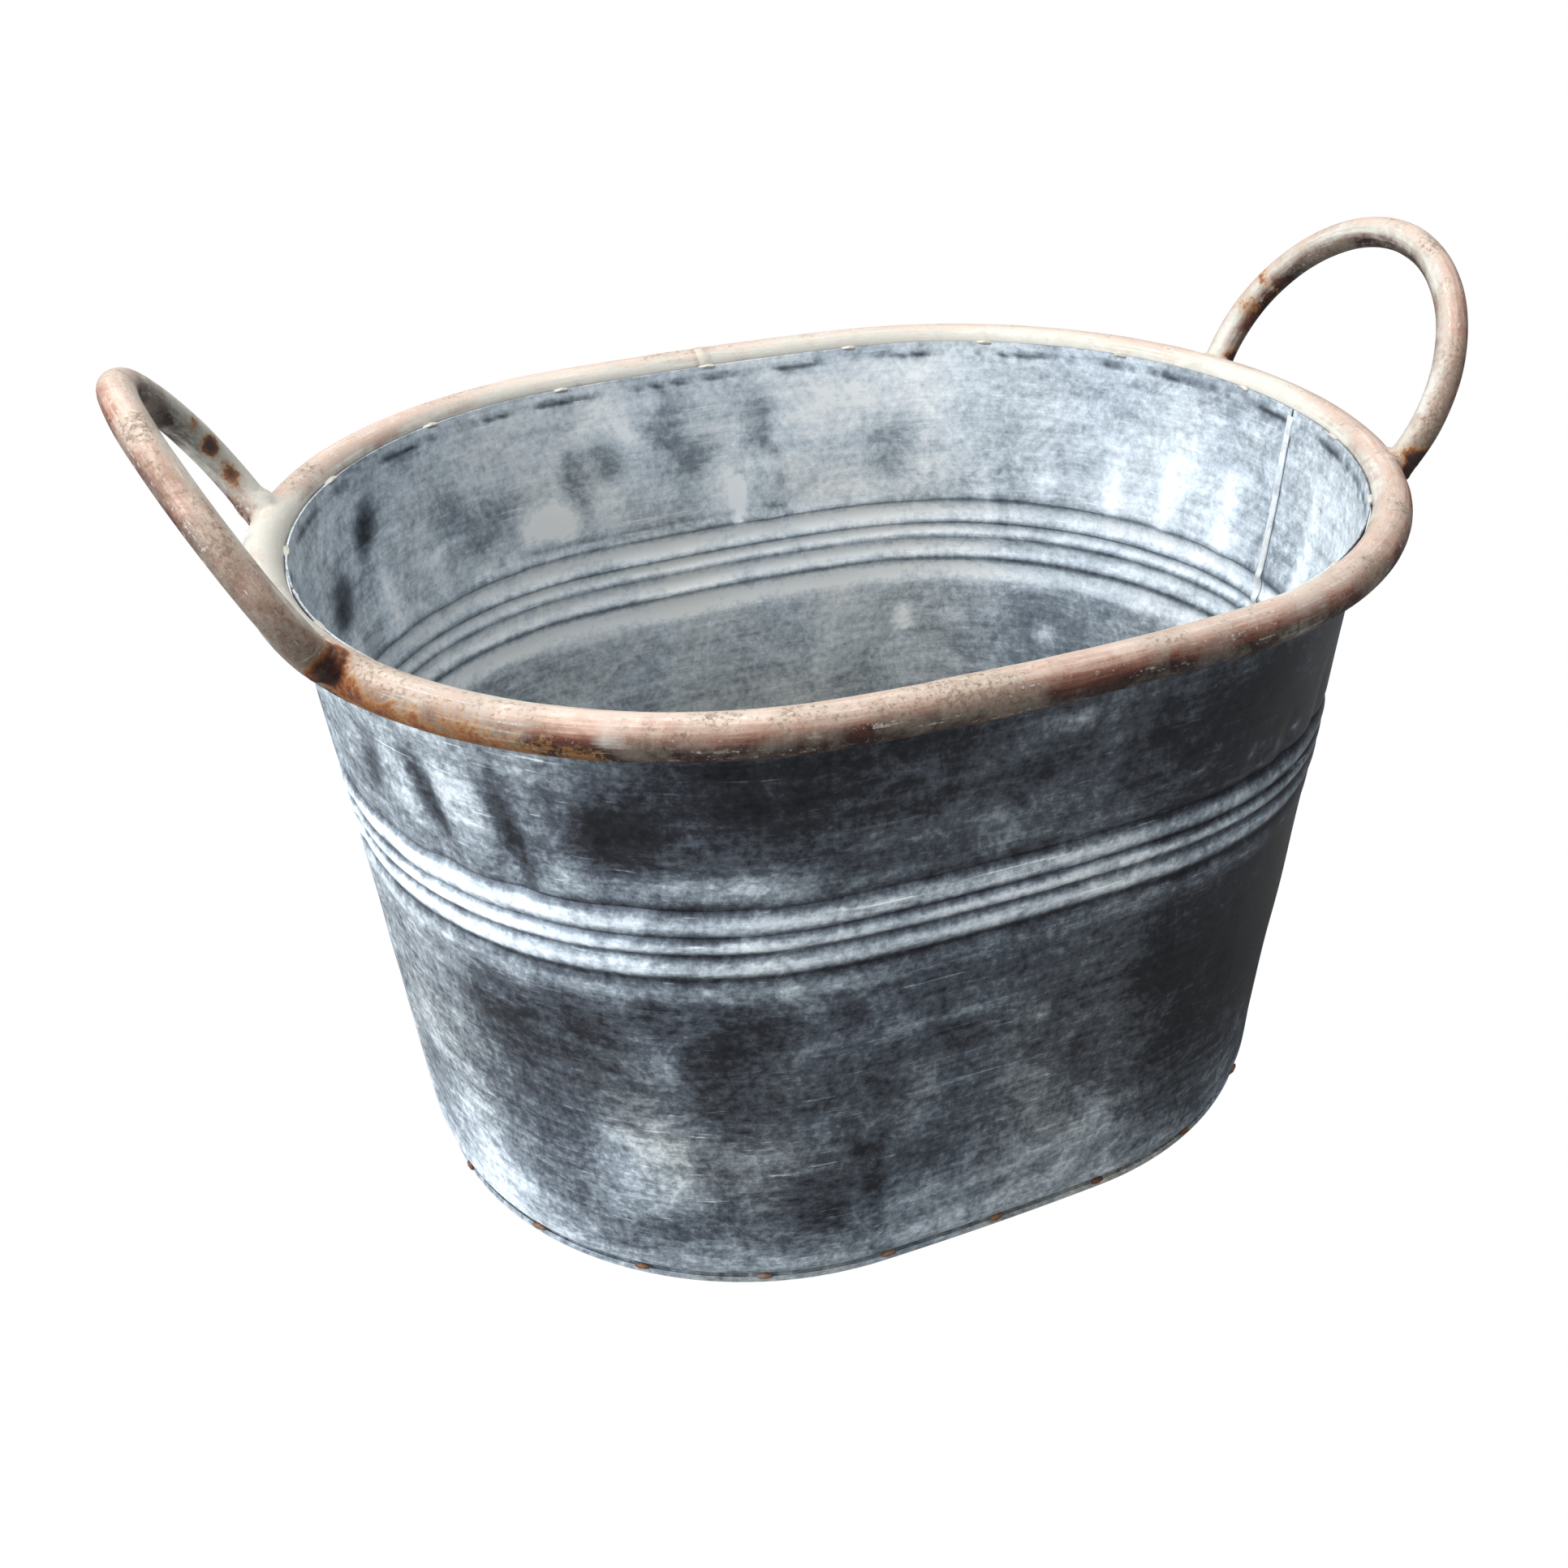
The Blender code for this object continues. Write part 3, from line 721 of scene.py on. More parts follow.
# %% [markdown]
# ## Painting wear, painted shade and painted light onto the meshes
# Where a bucket is pale or dark is partly a matter of how it was handled and where rain dried, and partly of
# how light falls on it, so both are painted: soft spots stored as attributes of the mesh, and painted shade
# and painted highlights that follow the band, the puckers, the hoop's lip and the side facing the lamp. Each
# spot of the wall says how far it is along from the middle of its side, its height, its two half sizes and
# its lean, in millimetres, and how much it lightens or darkens. The finishes then break the soft spots up
# with noise, and `busy` says how strongly.

# %% Wall spots
# Most spots are bloom and wear. The dark ones beside the puckers near the left end and the dark strip just
# under the hoop are painted shade, the dark spots towards the right end are painted shade on the side turned
# from the lamp, and the pale ones low at the left end are partly bloom and partly painted light.
OUTSIDE = [     # front face: along, height, half along, half height, lean, tone
    (-165, 168, 13, 16, 0.15, 0.35), (-190, 166, 7, 14, 0.0, 0.35), (-137, 154, 14, 7, 0.0, 0.45),
    (-98, 154, 24, 5, 0.0, 0.7), (-72, 151, 12, 3, 0.0, 0.3), (90, 155, 2.5, 4, 0.2, 0.9),
    (104, 154, 5, 3, -0.8, 1.0), (5, 187, 7, 2.5, 0.0, 0.8), (-163, 40, 12, 14, 0.0, 0.2),
    (-190, 30, 25, 30, 0.0, 0.45), (-165, 14, 50, 16, 0.0, 0.4), (-130, 40, 24, 16, 0.3, 0.5),
    (-125, 62, 20, 14, 0.0, 0.35),
    (-143, 57, 16, 14, 0.0, 0.3), (0, 45, 20, 38, 0.0, 0.25), (-120, 98, 7, 16, -0.3, 0.35),
    (-30, 97, 35, 3, 0.1, 0.3), (-90, 135, 120, 12, 0.0, 0.25), (60, 132, 90, 9, 0.0, 0.15),
    (-205, 169, 5, 9, 0.2, -0.8), (-179, 168, 4.5, 13, -0.35, -1.0), (-150, 166, 5, 16, -0.3, -1.0),
    (-119, 168, 11, 14, 0.2, -0.75), (-60, 178, 60, 17, 0.0, -0.5), (-45, 192, 50, 5, 0.0, -0.45),
    (80, 170, 60, 22, 0.0, -0.6), (90, 85, 70, 38, 0.0, -0.65), (165, 95, 60, 80, 0.0, -0.75),
    (0, 20, 90, 18, 0.0, 0.3),
    (-95, 93, 15, 20, 0.3, -0.45), (-155, 96, 45, 14, 0.0, -0.35), (-70, 35, 16, 18, 0.0, -0.35),
    (-38, 45, 16, 32, 0.0, -0.35), (60, 40, 50, 36, 0.0, -0.2),
]
INSIDE = [      # inner face of the back: the same, along growing towards the left end
    (-143, 93, 5, 5, 0.0, 0.7), (-79, 98, 4.5, 4.5, 0.0, 0.8), (70, 161, 12, 8, 0.0, 0.6),
    (95, 151, 14, 3, 0.0, 0.4), (42, 190, 12, 10, 0.0, 0.45), (-8, 168, 5, 14, 0.0, 0.4),
    (-15, 158, 2.5, 9, 0.0, 0.9), (-60, 190, 45, 14, 0.0, 0.3), (-72, 172, 10, 14, 0.0, -0.35),
    (-12, 180, 7, 20, 0.1, -0.6), (12, 182, 10, 13, 0.0, -0.6), (18, 165, 14, 11, 0.0, -0.35),
    (50, 175, 7, 20, 0.0, -0.7), (92, 166, 20, 11, 0.0, -0.5), (110, 178, 9, 8, 0.0, -0.4),
    (151, 185, 6, 8, -0.5, -1.2), (176, 171, 8, 9, -0.3, -1.2), (40, 151, 60, 2, 0.0, -0.5),
    (-200, 165, 60, 30, 0.0, 0.35),
]


def spots(along, height, listed):
    """Sum of soft elliptical spots at every point."""
    total = np.zeros_like(along)
    for at, level, wide, tall, lean, tone in listed:
        up = (height - level) / tall
        off = (along - at - lean * (height - level)) / wide
        total += tone * np.exp(-1.1 * (off ** 2 + up ** 2) ** 1.3)
    return total


def store(piece, name, kind, values):
    """Writes one attribute, a number or a vector for each vertex."""
    made = piece.data.attributes.new(name, kind, "POINT")
    flat = np.asarray(values, np.float32).ravel()
    made.data.foreach_set("value" if kind == "FLOAT" else "vector", flat)


def paint_wall(sheet):
    """Attributes of a wall sheet: tone, busy, warm and its flat coordinates."""
    turns, heights, facing = [], [], []
    for vertex in sheet.data.vertices:
        normal = vertex.normal
        flat = normal.to_2d().normalized() if normal.to_2d().length > 1e-6 else vertex.co.to_2d().normalized()
        out = flat.dot(vertex.co.to_2d().normalized()) > 0
        turn = sheet_turn(vertex.co, Vector((flat.x, flat.y, 0)) * (1 if out else -1))
        turns.append(turn)
        heights.append(vertex.co.z)
        facing.append(out)
    turns, heights, facing = np.array(turns), np.array(heights), np.array(facing)
    along = np.array([walked(turn) for turn in turns]) / MM
    level = heights / MM
    back = np.sin(turns) > 0
    crest = np.array([band(height) for height in heights]) / PROUD
    outer = np.where(back, spots(-along + 25, level, OUTSIDE) * 0.7, spots(along, level, OUTSIDE)) - 0.12
    # Lighter at the foot. The band's crests are lighter, partly rubbed wear and partly a painted highlight,
    # and its creases are darker as painted shade.
    outer += (0.6 * np.exp(-(level / 14) ** 2) + 0.5 * np.exp(-(level / 3) ** 2)
              + 0.7 * np.clip(crest, 0, 1) - 0.5 * np.clip(-crest, 0, 1))
    # Painted light: the wall that faces the left lamp is made paler, broadly above the band and along the left
    # end's edge below it.
    left = -np.cos(turns)
    above = np.clip((level - 100) / 25, 0, 1)
    outer += 0.45 * np.clip((left - 0.45) / 0.4, 0, 1) * above
    outer += 0.4 * np.clip((left - 0.84) / 0.12, 0, 1) * (1 - above)
    # The inner face is made paler all over, partly bloom and partly painted light from the sky above the
    # mouth.
    inner = np.where(back, spots(along, level, INSIDE), spots(-along, level, INSIDE) * 0.6) + 0.9
    # Painted shade: the inner wall below the band is darker, more so towards the left end.
    inner -= np.clip((113 - level) / 3, 0, 1) * (0.22 + 0.2 * np.clip(0.2 - np.cos(turns), 0, 1))
    inner += 0.25 * np.clip((level - 113) / 3, 0, 1) * np.clip((122 - level) / 2, 0, 1)
    # Inside, the crests are lighter, partly wear and partly a painted highlight, and the creases are darker as
    # painted shade.
    inner += 0.35 * np.clip(crest, 0, 1) - 0.6 * np.clip(-crest, 0, 1)
    # Painted shade: both inner ends are made darker, the left end most, as it faces away from the left lamp.
    inner -= 0.3 * np.clip(np.cos(turns), 0, 1) + 0.4 * np.clip(-np.cos(turns) - 0.2, 0, 1)
    # Painted highlight on the puckers' ridges inside, and painted shade on the right end above the band.
    pinch = np.array([puckers(turn, height) for turn, height in zip(turns, heights)]) / MM
    inner += (0.35 * np.clip(-pinch, 0, 1.5)
              - 0.12 * np.clip(np.cos(turns), 0, 1) * np.clip((level - 113) / 5, 0, 1))
    # Painted shadow: a dark line under the hoop's lip, broken by pale gaps at the tacks.
    lip_shadow_breaks = np.array([noise.noise(Vector((a * 0.045, 3.0, b))) + 0.45 * noise.noise(Vector((a * 0.3, 7.0, b)))
                     for a, b in zip(along, back)])
    edge = np.exp(-((level - 202.4 + 1.6 * lip_shadow_breaks) / 1.1) ** 2)
    inner -= 0.95 * edge * np.clip(lip_shadow_breaks * 2.4 + 0.45, 0, 1)
    store(sheet, "tone", "FLOAT", np.where(facing, outer, inner))
    store(sheet, "busy", "FLOAT", np.where(facing, 1.0, 0.7))
    store(sheet, "warm", "FLOAT", np.where(facing, 0.12, 0.22) + 0.2 * np.exp(-((level - 60) / 40) ** 2))
    store(sheet, "sheet", "FLOAT_VECTOR", np.stack([along * MM, heights, facing * 0.5], 1))


for sheet in (wall_front, wall_back):
    paint_wall(sheet)
plate = np.array([vertex.co for vertex in bottom.data.vertices])
rim_strip = np.exp(-(plate[:, 2] / (3 * MM)) ** 2) * (np.hypot(plate[:, 0], plate[:, 1] * 1.2) > 0.1)
store(bottom, "tone", "FLOAT", -0.35 + 1.1 * rim_strip)
store(bottom, "busy", "FLOAT", np.full(len(plate), 0.8))
store(bottom, "warm", "FLOAT", 0.35 + 0.65 * rim_strip)
store(bottom, "sheet", "FLOAT_VECTOR", plate)
print("wall and pan painted")

# %% [markdown]
# ## Rust, chalk and painted light on the tubes
# Welding burnt the zinc off round the feet, so rust starts there and has crept along the hoop. Each rust
# spot is a place in millimetres, a radius and a strength. `under` says how much the surface faces down,
# which the finish turns into painted light on the top and a darker underside, partly rust where damp stays
# and partly painted shade. The chalk attribute also carries a painted highlight along the tubes' inner top
# edges, and `straight` unrolls the tube so that scratches run along it.

# %% Tube spots
RUST = [
    (-161, -54, 211, 6.5, 2.1), (-162, -62, 208, 8, 0.8), (-158, -72, 206, 9, 0.65),
    (-151, -84, 204, 12, 0.55), (-139, -97, 203, 14, 0.5), (-120, -112, 202, 14, 0.35),
    (-168, 52, 212, 4, 0.5), (-165, 51, 205, 5, 0.8), (-172, -50, 216, 4, 0.3),
    (-168, 51, 221, 3.5, 2.0), (-172, 51, 230, 3.5, 1.8), (-178, 50, 239, 3.5, 1.8),
    (-184, 46, 248, 3.5, 2.0), (171, -54, 204, 6.5, 3.2), (166, -56, 206, 5, 0.9),
    (169, 46, 205, 6, 3.0), (176, 50, 226, 5, 1.3), (182, 48, 236, 5, 1.3), (190, 38, 250, 4.5, 1.4),
    (150, 84, 205, 10, 0.2), (-128, 104, 205, 12, 0.22), (60, 128, 205, 12, 0.2), (-20, -134, 203, 9, 0.2),
]
CHALK = [
    (-152, -76, 214, 12, 0.45), (-134, -98, 213, 14, 0.4),
    (-112, -115, 209, 5, 0.9), (-67, -135, 209, 5, 0.9), (-92, -127, 208, 12, 0.3), (78, -120, 209, 16, 0.35),
    (-176, 53, 226, 12, 0.5), (-188, 48, 246, 12, 0.5), (-164, 33, 211, 20, 0.8),
    (-170, -2, 210, 22, 0.6), (-166, -28, 210, 12, 0.5), (172, 20, 211, 24, 0.5),
    (163, 48, 211, 12, 0.3), (120, 108, 210, 40, 0.4), (40, 129, 210, 40, 0.4), (-60, 126, 210, 40, 0.35),
]


def near(places, listed):
    """Sum of soft round spots in space."""
    total = np.zeros(len(places))
    for x, y, z, radius, strength in listed:
        off = np.linalg.norm(places - np.array([x, y, z]) * MM, axis=1) / (radius * MM)
        total += strength * np.exp(-off ** 2)
    return total


def paint_tube(piece, unroll, film_and_painted_light=1.0):
    """Attributes of a tube: under, rust, chalk and its straightened coordinates."""
    mesh = piece.data
    places = np.array([vertex.co for vertex in mesh.vertices])
    normals = np.array([vertex.normal for vertex in mesh.vertices])
    inward = -(normals[:, 0] * places[:, 0] + normals[:, 1] * places[:, 1])
    inward /= np.linalg.norm(places[:, :2], axis=1)
    # Painted light and shade: faces turned up get a pale film, faces turned down a dark one, partly rust where
    # damp stays.
    store(piece, "under", "FLOAT", film_and_painted_light * (0.5 - 0.5 * normals[:, 2]))
    store(piece, "rust", "FLOAT", near(places, RUST) * (0.85 - 0.65 * normals[:, 2]))
    # Painted highlight along the tubes' inner top edges, stored with the chalk.
    inner_edge_highlight = 0.75 * np.clip(inward, 0, 1) * np.clip(normals[:, 2] + 0.6, 0, 1)
    store(piece, "chalk_and_highlight", "FLOAT", near(places, CHALK) + inner_edge_highlight)
    store(piece, "straight", "FLOAT_VECTOR", [unroll(Vector(place)) for place in places])


def unroll_hoop(place):
    """(along, outward, up) of a point of the hoop."""
    turn, out = place_on_hoop(place)
    return walked(turn) + (0.5 if math.sin(turn) > 0 else 0.0), out, place.z - HOOP_Z


def unroll_handle(key):
    """A function giving (along, outward, up) of a point of this handle."""
    handle = handle_shapes[key]
    line = [bow(handle, -0.7 + 4.6 * k / 300) for k in range(301)]
    gone = [0.0]
    for a, b in zip(line, line[1:]):
        gone.append(gone[-1] + (b - a).length)
    table = np.array(line)

    def unroll(place):
        k = int(np.argmin(((table - np.array(place)) ** 2).sum(1)))
        off = place - line[k]
        return gone[k] + handle["side"] * 2, off.x, off.z
    return unroll


paint_tube(hoop, unroll_hoop)
for key, piece in handles.items():
    paint_tube(piece, unroll_handle(key), 0.8)
for piece in [*fillets.values(), joint]:
    paint_tube(piece, unroll_hoop)
print("tubes painted")

# %% [markdown]
# ## A helper for finishes
# A finish is a tree of nodes. One function adds a node, sets it up and links its inputs, and another
# turns a hex colour, which is how paint charts give it, into the linear numbers that light is added in.

# %% Node helper
def linear(code):
    """Linear RGBA of an sRGB hex colour."""
    parts = [int(code[k:k + 2], 16) / 255 for k in (1, 3, 5)]
    return (*[p / 12.92 if p <= 0.04045 else ((p + 0.055) / 1.055) ** 2.4 for p in parts], 1.0)


def add(tree, kind, inputs=None, ramp=None, **settings):
    """Adds a node; inputs maps a socket's name or number to a value or to another node's output."""
    made = tree.nodes.new(kind)
    for name, value in settings.items():
        setattr(made, name, value)
    if ramp:
        stops = made.color_ramp.elements
        while len(stops) < len(ramp):
            stops.new(1.0)
        for stop, (place, code) in zip(stops, ramp):
            stop.position = place
            stop.color = linear(code)
    for name, value in (inputs or {}).items():
        socket = made.inputs[name]
        if isinstance(value, bpy.types.NodeSocket):
            tree.links.new(value, socket)
        else:
            socket.default_value = value
    return made


def finish(name):
    """Empty material with its tree and Principled shader."""
    made = bpy.data.materials.new(name)
    made.use_nodes = True
    return made, made.node_tree, made.node_tree.nodes["Principled BSDF"]


# %% [markdown]
# ## Weathered zinc coating
# Hot-dipped zinc that was acid-aged and rubbed: a grey metal under a patchy white bloom of carbonate.
# Bloom is not metal and is rough, so the same tone that makes a place pale also makes it less metallic
# and rougher. The eye reads big clouds, finger-wide mottling and a fine grain, so there is a noise for
# each. The real grain is too fine to show and is drawn coarser. Rubbing marks are stretched along the
# sheet, and sparse pale scratches cross them.

# %% Zinc
CLOUD, MOTTLE, GRAIN = 11.0, 48.0, 420.0        # per metre: about 90, 20 and 2.4 mm across
RUBBED = (30.0, 260.0, 1.0)                     # per metre along and up: marks about 33 by 4 mm
SCORED = (60.0, 900.0, 1.0)                     # about 17 by 1 mm


def zinc_finish():
    """Aged zinc-coated sheet."""
    made, tree, shader = finish("zinc_coated_sheet_acid_aged")
    place = add(tree, "ShaderNodeTexCoord").outputs["Object"]
    tone = add(tree, "ShaderNodeAttribute", attribute_name="tone").outputs["Fac"]
    warm = add(tree, "ShaderNodeAttribute", attribute_name="warm").outputs["Fac"]
    flat = add(tree, "ShaderNodeAttribute", attribute_name="sheet").outputs["Vector"]
    cloud = add(tree, "ShaderNodeTexNoise", {"Vector": place, "Scale": CLOUD, "Detail": 4.0,
                                             "Roughness": 0.55, "Distortion": 0.4})
    mottle = add(tree, "ShaderNodeTexNoise", {"Vector": place, "Scale": MOTTLE, "Detail": 10.0,
                                              "Roughness": 0.74, "Distortion": 0.9})
    grain = add(tree, "ShaderNodeTexNoise", {"Vector": place, "Scale": GRAIN, "Detail": 4.0,
                                             "Roughness": 0.7})
    turned = add(tree, "ShaderNodeMapping", {"Vector": flat, "Rotation": (0, 0, 0.22), "Scale": RUBBED})
    rubbed = add(tree, "ShaderNodeTexNoise", {"Vector": turned.outputs["Vector"], "Scale": 1.0,
                                              "Detail": 5.0, "Roughness": 0.75})
    busy = add(tree, "ShaderNodeAttribute", attribute_name="busy").outputs["Fac"]
    total = 0.0
    for source, strength in ((cloud, 0.9), (mottle, 2.0), (grain, 1.4), (rubbed, 1.2)):
        centred = add(tree, "ShaderNodeMath", {0: source.outputs["Fac"], 1: 0.5}, operation="SUBTRACT")
        total = add(tree, "ShaderNodeMath", {0: centred.outputs[0], 1: strength, 2: total},
                    operation="MULTIPLY_ADD").outputs[0]
    crossed = add(tree, "ShaderNodeMapping", {"Vector": flat, "Rotation": (0, 0, 0.5), "Scale": SCORED})
    scored = add(tree, "ShaderNodeTexNoise", {"Vector": crossed.outputs["Vector"], "Scale": 1.0,
                                              "Detail": 2.0})
    scored = add(tree, "ShaderNodeMapRange", {"Value": scored.outputs["Fac"], "From Min": 0.67,
                                              "From Max": 0.79, "To Max": 0.6})
    total = add(tree, "ShaderNodeMath", {0: total, 1: scored.outputs[0]}, operation="ADD").outputs[0]
    total = add(tree, "ShaderNodeMath", {0: total, 1: busy, 2: tone}, operation="MULTIPLY_ADD").outputs[0]
    share = add(tree, "ShaderNodeMapRange", {"Value": total, "From Min": -1.2, "From Max": 1.2}).outputs[0]
    body = add(tree, "ShaderNodeValToRGB", {"Fac": share},
               ramp=[(0.0, "#17181c"), (0.28, "#33353b"), (0.48, "#585f68"), (0.66, "#8b959c"),
                     (0.84, "#c6cfd5"), (1.0, "#eef1f1")])
    patch = add(tree, "ShaderNodeMapRange", {"Value": cloud.outputs["Fac"], "From Min": 0.4,
                                             "From Max": 0.62})
    tint = add(tree, "ShaderNodeMath", {0: patch.outputs[0], 1: warm}, operation="MULTIPLY")
    coloured = add(tree, "ShaderNodeMix", {"Factor": tint.outputs[0], 6: body.outputs["Color"],
                                           7: linear("#f5dfbd")}, data_type="RGBA", blend_type="MULTIPLY")
    tree.links.new(coloured.outputs[2], shader.inputs["Base Color"])
    metal = add(tree, "ShaderNodeMapRange", {"Value": share, "From Min": 0.2, "From Max": 0.85,
                                             "To Min": 0.8, "To Max": 0.15})
    tree.links.new(metal.outputs[0], shader.inputs["Metallic"])
    rough = add(tree, "ShaderNodeMapRange", {"Value": share, "From Min": 0.1, "From Max": 0.9,
                                             "To Min": 0.4, "To Max": 0.62})
    rough = add(tree, "ShaderNodeMath", {0: grain.outputs["Fac"], 1: 0.14, 2: rough.outputs[0]},
                operation="MULTIPLY_ADD")
    tree.links.new(rough.outputs[0], shader.inputs["Roughness"])
    low = add(tree, "ShaderNodeBump", {"Height": mottle.outputs["Fac"], "Strength": 0.35, "Distance": 0.0006})
    fine = add(tree, "ShaderNodeBump", {"Height": grain.outputs["Fac"], "Strength": 0.3,
                                        "Distance": 0.00025, "Normal": low.outputs[0]})
    tree.links.new(fine.outputs[0], shader.inputs["Normal"])
    return made


zinc = zinc_finish()
print(zinc.name, len(zinc.node_tree.nodes), "nodes")

# %% [markdown]
# ## Aged steel tube
# Bent steel tube under a pinkish-brown oxide film: beige on the top as painted light, red-brown below, partly
# rust and partly painted shade. Dull grey patches and dark pits break it up, chalk lies over them with a
# painted highlight along the tubes' inner top edges, bright scratches run along the tube, and rust blooms
# orange round a nearly black core. Each is a coat laid over the one before, so one helper lays a coat where
# a pattern is strong enough.

# %% Tube steel
BLOTCH, SPECK, WIDE = 70.0, 700.0, 30.0         # per metre: about 14, 1.4 and 33 mm across


def coat(tree, below, top, value, low, high, most=1.0):
    """Lays the colour top over below, growing to a share of most as value goes from low to high."""
    share = add(tree, "ShaderNodeMapRange", {"Value": value, "From Min": low, "From Max": high,
                                             "To Max": most})
    return add(tree, "ShaderNodeMix", {"Factor": share.outputs[0], 6: below, 7: top},
               data_type="RGBA").outputs[2]


def tube_finish():
    """Aged tube: an oxide skin with painted light and shade, chalky coats with a painted highlight, and rust.
    """
    made, tree, shader = finish("steel_tube_oxide_film")
    place = add(tree, "ShaderNodeTexCoord").outputs["Object"]
    along = add(tree, "ShaderNodeAttribute", attribute_name="straight").outputs["Vector"]
    under = add(tree, "ShaderNodeAttribute", attribute_name="under").outputs["Fac"]
    rust = add(tree, "ShaderNodeAttribute", attribute_name="rust").outputs["Fac"]
    chalk_and_highlight = add(tree, "ShaderNodeAttribute", attribute_name="chalk_and_highlight").outputs["Fac"]
    blotch = add(tree, "ShaderNodeTexNoise", {"Vector": place, "Scale": BLOTCH, "Detail": 8.0,
                                              "Roughness": 0.7, "Distortion": 0.6})
    speck = add(tree, "ShaderNodeTexNoise", {"Vector": place, "Scale": SPECK, "Detail": 3.0,
                                             "Roughness": 0.7})
    drawn = add(tree, "ShaderNodeMapping", {"Vector": along, "Scale": (36.0, 900.0, 900.0)})
    scratch = add(tree, "ShaderNodeTexNoise", {"Vector": drawn.outputs["Vector"], "Scale": 1.0,
                                               "Detail": 3.0, "Roughness": 0.6})
    # Painted light and shade: the ramp runs from beige where the tube faces up to near black where it faces
    # down, over the oxide film's own browns.
    dark = add(tree, "ShaderNodeMath", {0: blotch.outputs["Fac"], 1: 0.45, 2: under}, operation="MULTIPLY_ADD")
    dark = add(tree, "ShaderNodeMath", {0: scratch.outputs["Fac"], 1: 0.5, 2: dark.outputs[0]},
               operation="MULTIPLY_ADD")
    film_and_painted_light = add(tree, "ShaderNodeValToRGB", {"Fac": dark.outputs[0]},
               ramp=[(0.36, "#b5aa9f"), (0.55, "#a58b7c"), (0.68, "#835d4b"), (0.83, "#582f21"),
                     (1.0, "#2a120a")])
    wide = add(tree, "ShaderNodeTexNoise", {"Vector": place, "Scale": WIDE, "Detail": 6.0,
                                            "Roughness": 0.7})
    colour = coat(tree, film_and_painted_light.outputs["Color"], linear("#968f80"), wide.outputs["Fac"], 0.46, 0.6, 0.55)
    pit = add(tree, "ShaderNodeMath", {0: speck.outputs["Fac"], 1: wide.outputs["Fac"]}, operation="ADD")
    colour = coat(tree, colour, linear("#634738"), pit.outputs[0], 1.06, 1.24, 0.75)
    pale = add(tree, "ShaderNodeMath", {0: blotch.outputs["Fac"], 1: 1.7, 2: chalk_and_highlight}, operation="MULTIPLY_ADD")
    pale = add(tree, "ShaderNodeMath", {0: scratch.outputs["Fac"], 1: 0.9, 2: pale.outputs[0]},
               operation="MULTIPLY_ADD")
    colour = coat(tree, colour, linear("#b0ada3"), pale.outputs[0], 1.55, 2.1)
    worn = add(tree, "ShaderNodeMath", {0: scratch.outputs["Fac"], 1: speck.outputs["Fac"]}, operation="ADD")
    colour = coat(tree, colour, linear("#c9c4ba"), worn.outputs[0], 1.14, 1.3, 0.55)
    eaten = add(tree, "ShaderNodeMath", {0: blotch.outputs["Fac"], 1: 1.9, 2: rust}, operation="MULTIPLY_ADD")
    eaten = add(tree, "ShaderNodeMath", {0: speck.outputs["Fac"], 1: 0.9, 2: eaten.outputs[0]},
                operation="MULTIPLY_ADD")
    core = add(tree, "ShaderNodeMapRange", {"Value": eaten.outputs[0], "From Min": 1.85, "From Max": 2.75})
    oxide = add(tree, "ShaderNodeValToRGB", {"Fac": core.outputs[0]},
                ramp=[(0.0, "#a97b40"), (0.22, "#85501f"), (0.5, "#582810"), (0.8, "#260f08")])
    colour = coat(tree, colour, oxide.outputs["Color"], eaten.outputs[0], 1.72, 2.1, 0.9)
    tree.links.new(colour, shader.inputs["Base Color"])
    shader.inputs["Metallic"].default_value = 0.25
    rough = add(tree, "ShaderNodeMapRange", {"Value": eaten.outputs[0], "From Min": 1.1, "From Max": 1.7,
                                             "To Min": 0.4, "To Max": 0.85})
    rough = add(tree, "ShaderNodeMath", {0: scratch.outputs["Fac"], 1: 0.12, 2: rough.outputs[0]},
                operation="MULTIPLY_ADD")
    tree.links.new(rough.outputs[0], shader.inputs["Roughness"])
    low = add(tree, "ShaderNodeBump", {"Height": blotch.outputs["Fac"], "Strength": 0.5, "Distance": 0.0007})
    fine = add(tree, "ShaderNodeBump", {"Height": speck.outputs["Fac"], "Strength": 0.35,
                                        "Distance": 0.0002, "Normal": low.outputs[0]})
    tree.links.new(fine.outputs[0], shader.inputs["Normal"])
    return made


tube_steel = tube_finish()
print(tube_steel.name, len(tube_steel.node_tree.nodes), "nodes")

# %% [markdown]
# ## Weld metal and solder
# Both are lumps that froze in air. Weld metal rusts from its edges, so it runs from grey to orange-brown.
# Solder stays a pale, soft grey with a satin skin.

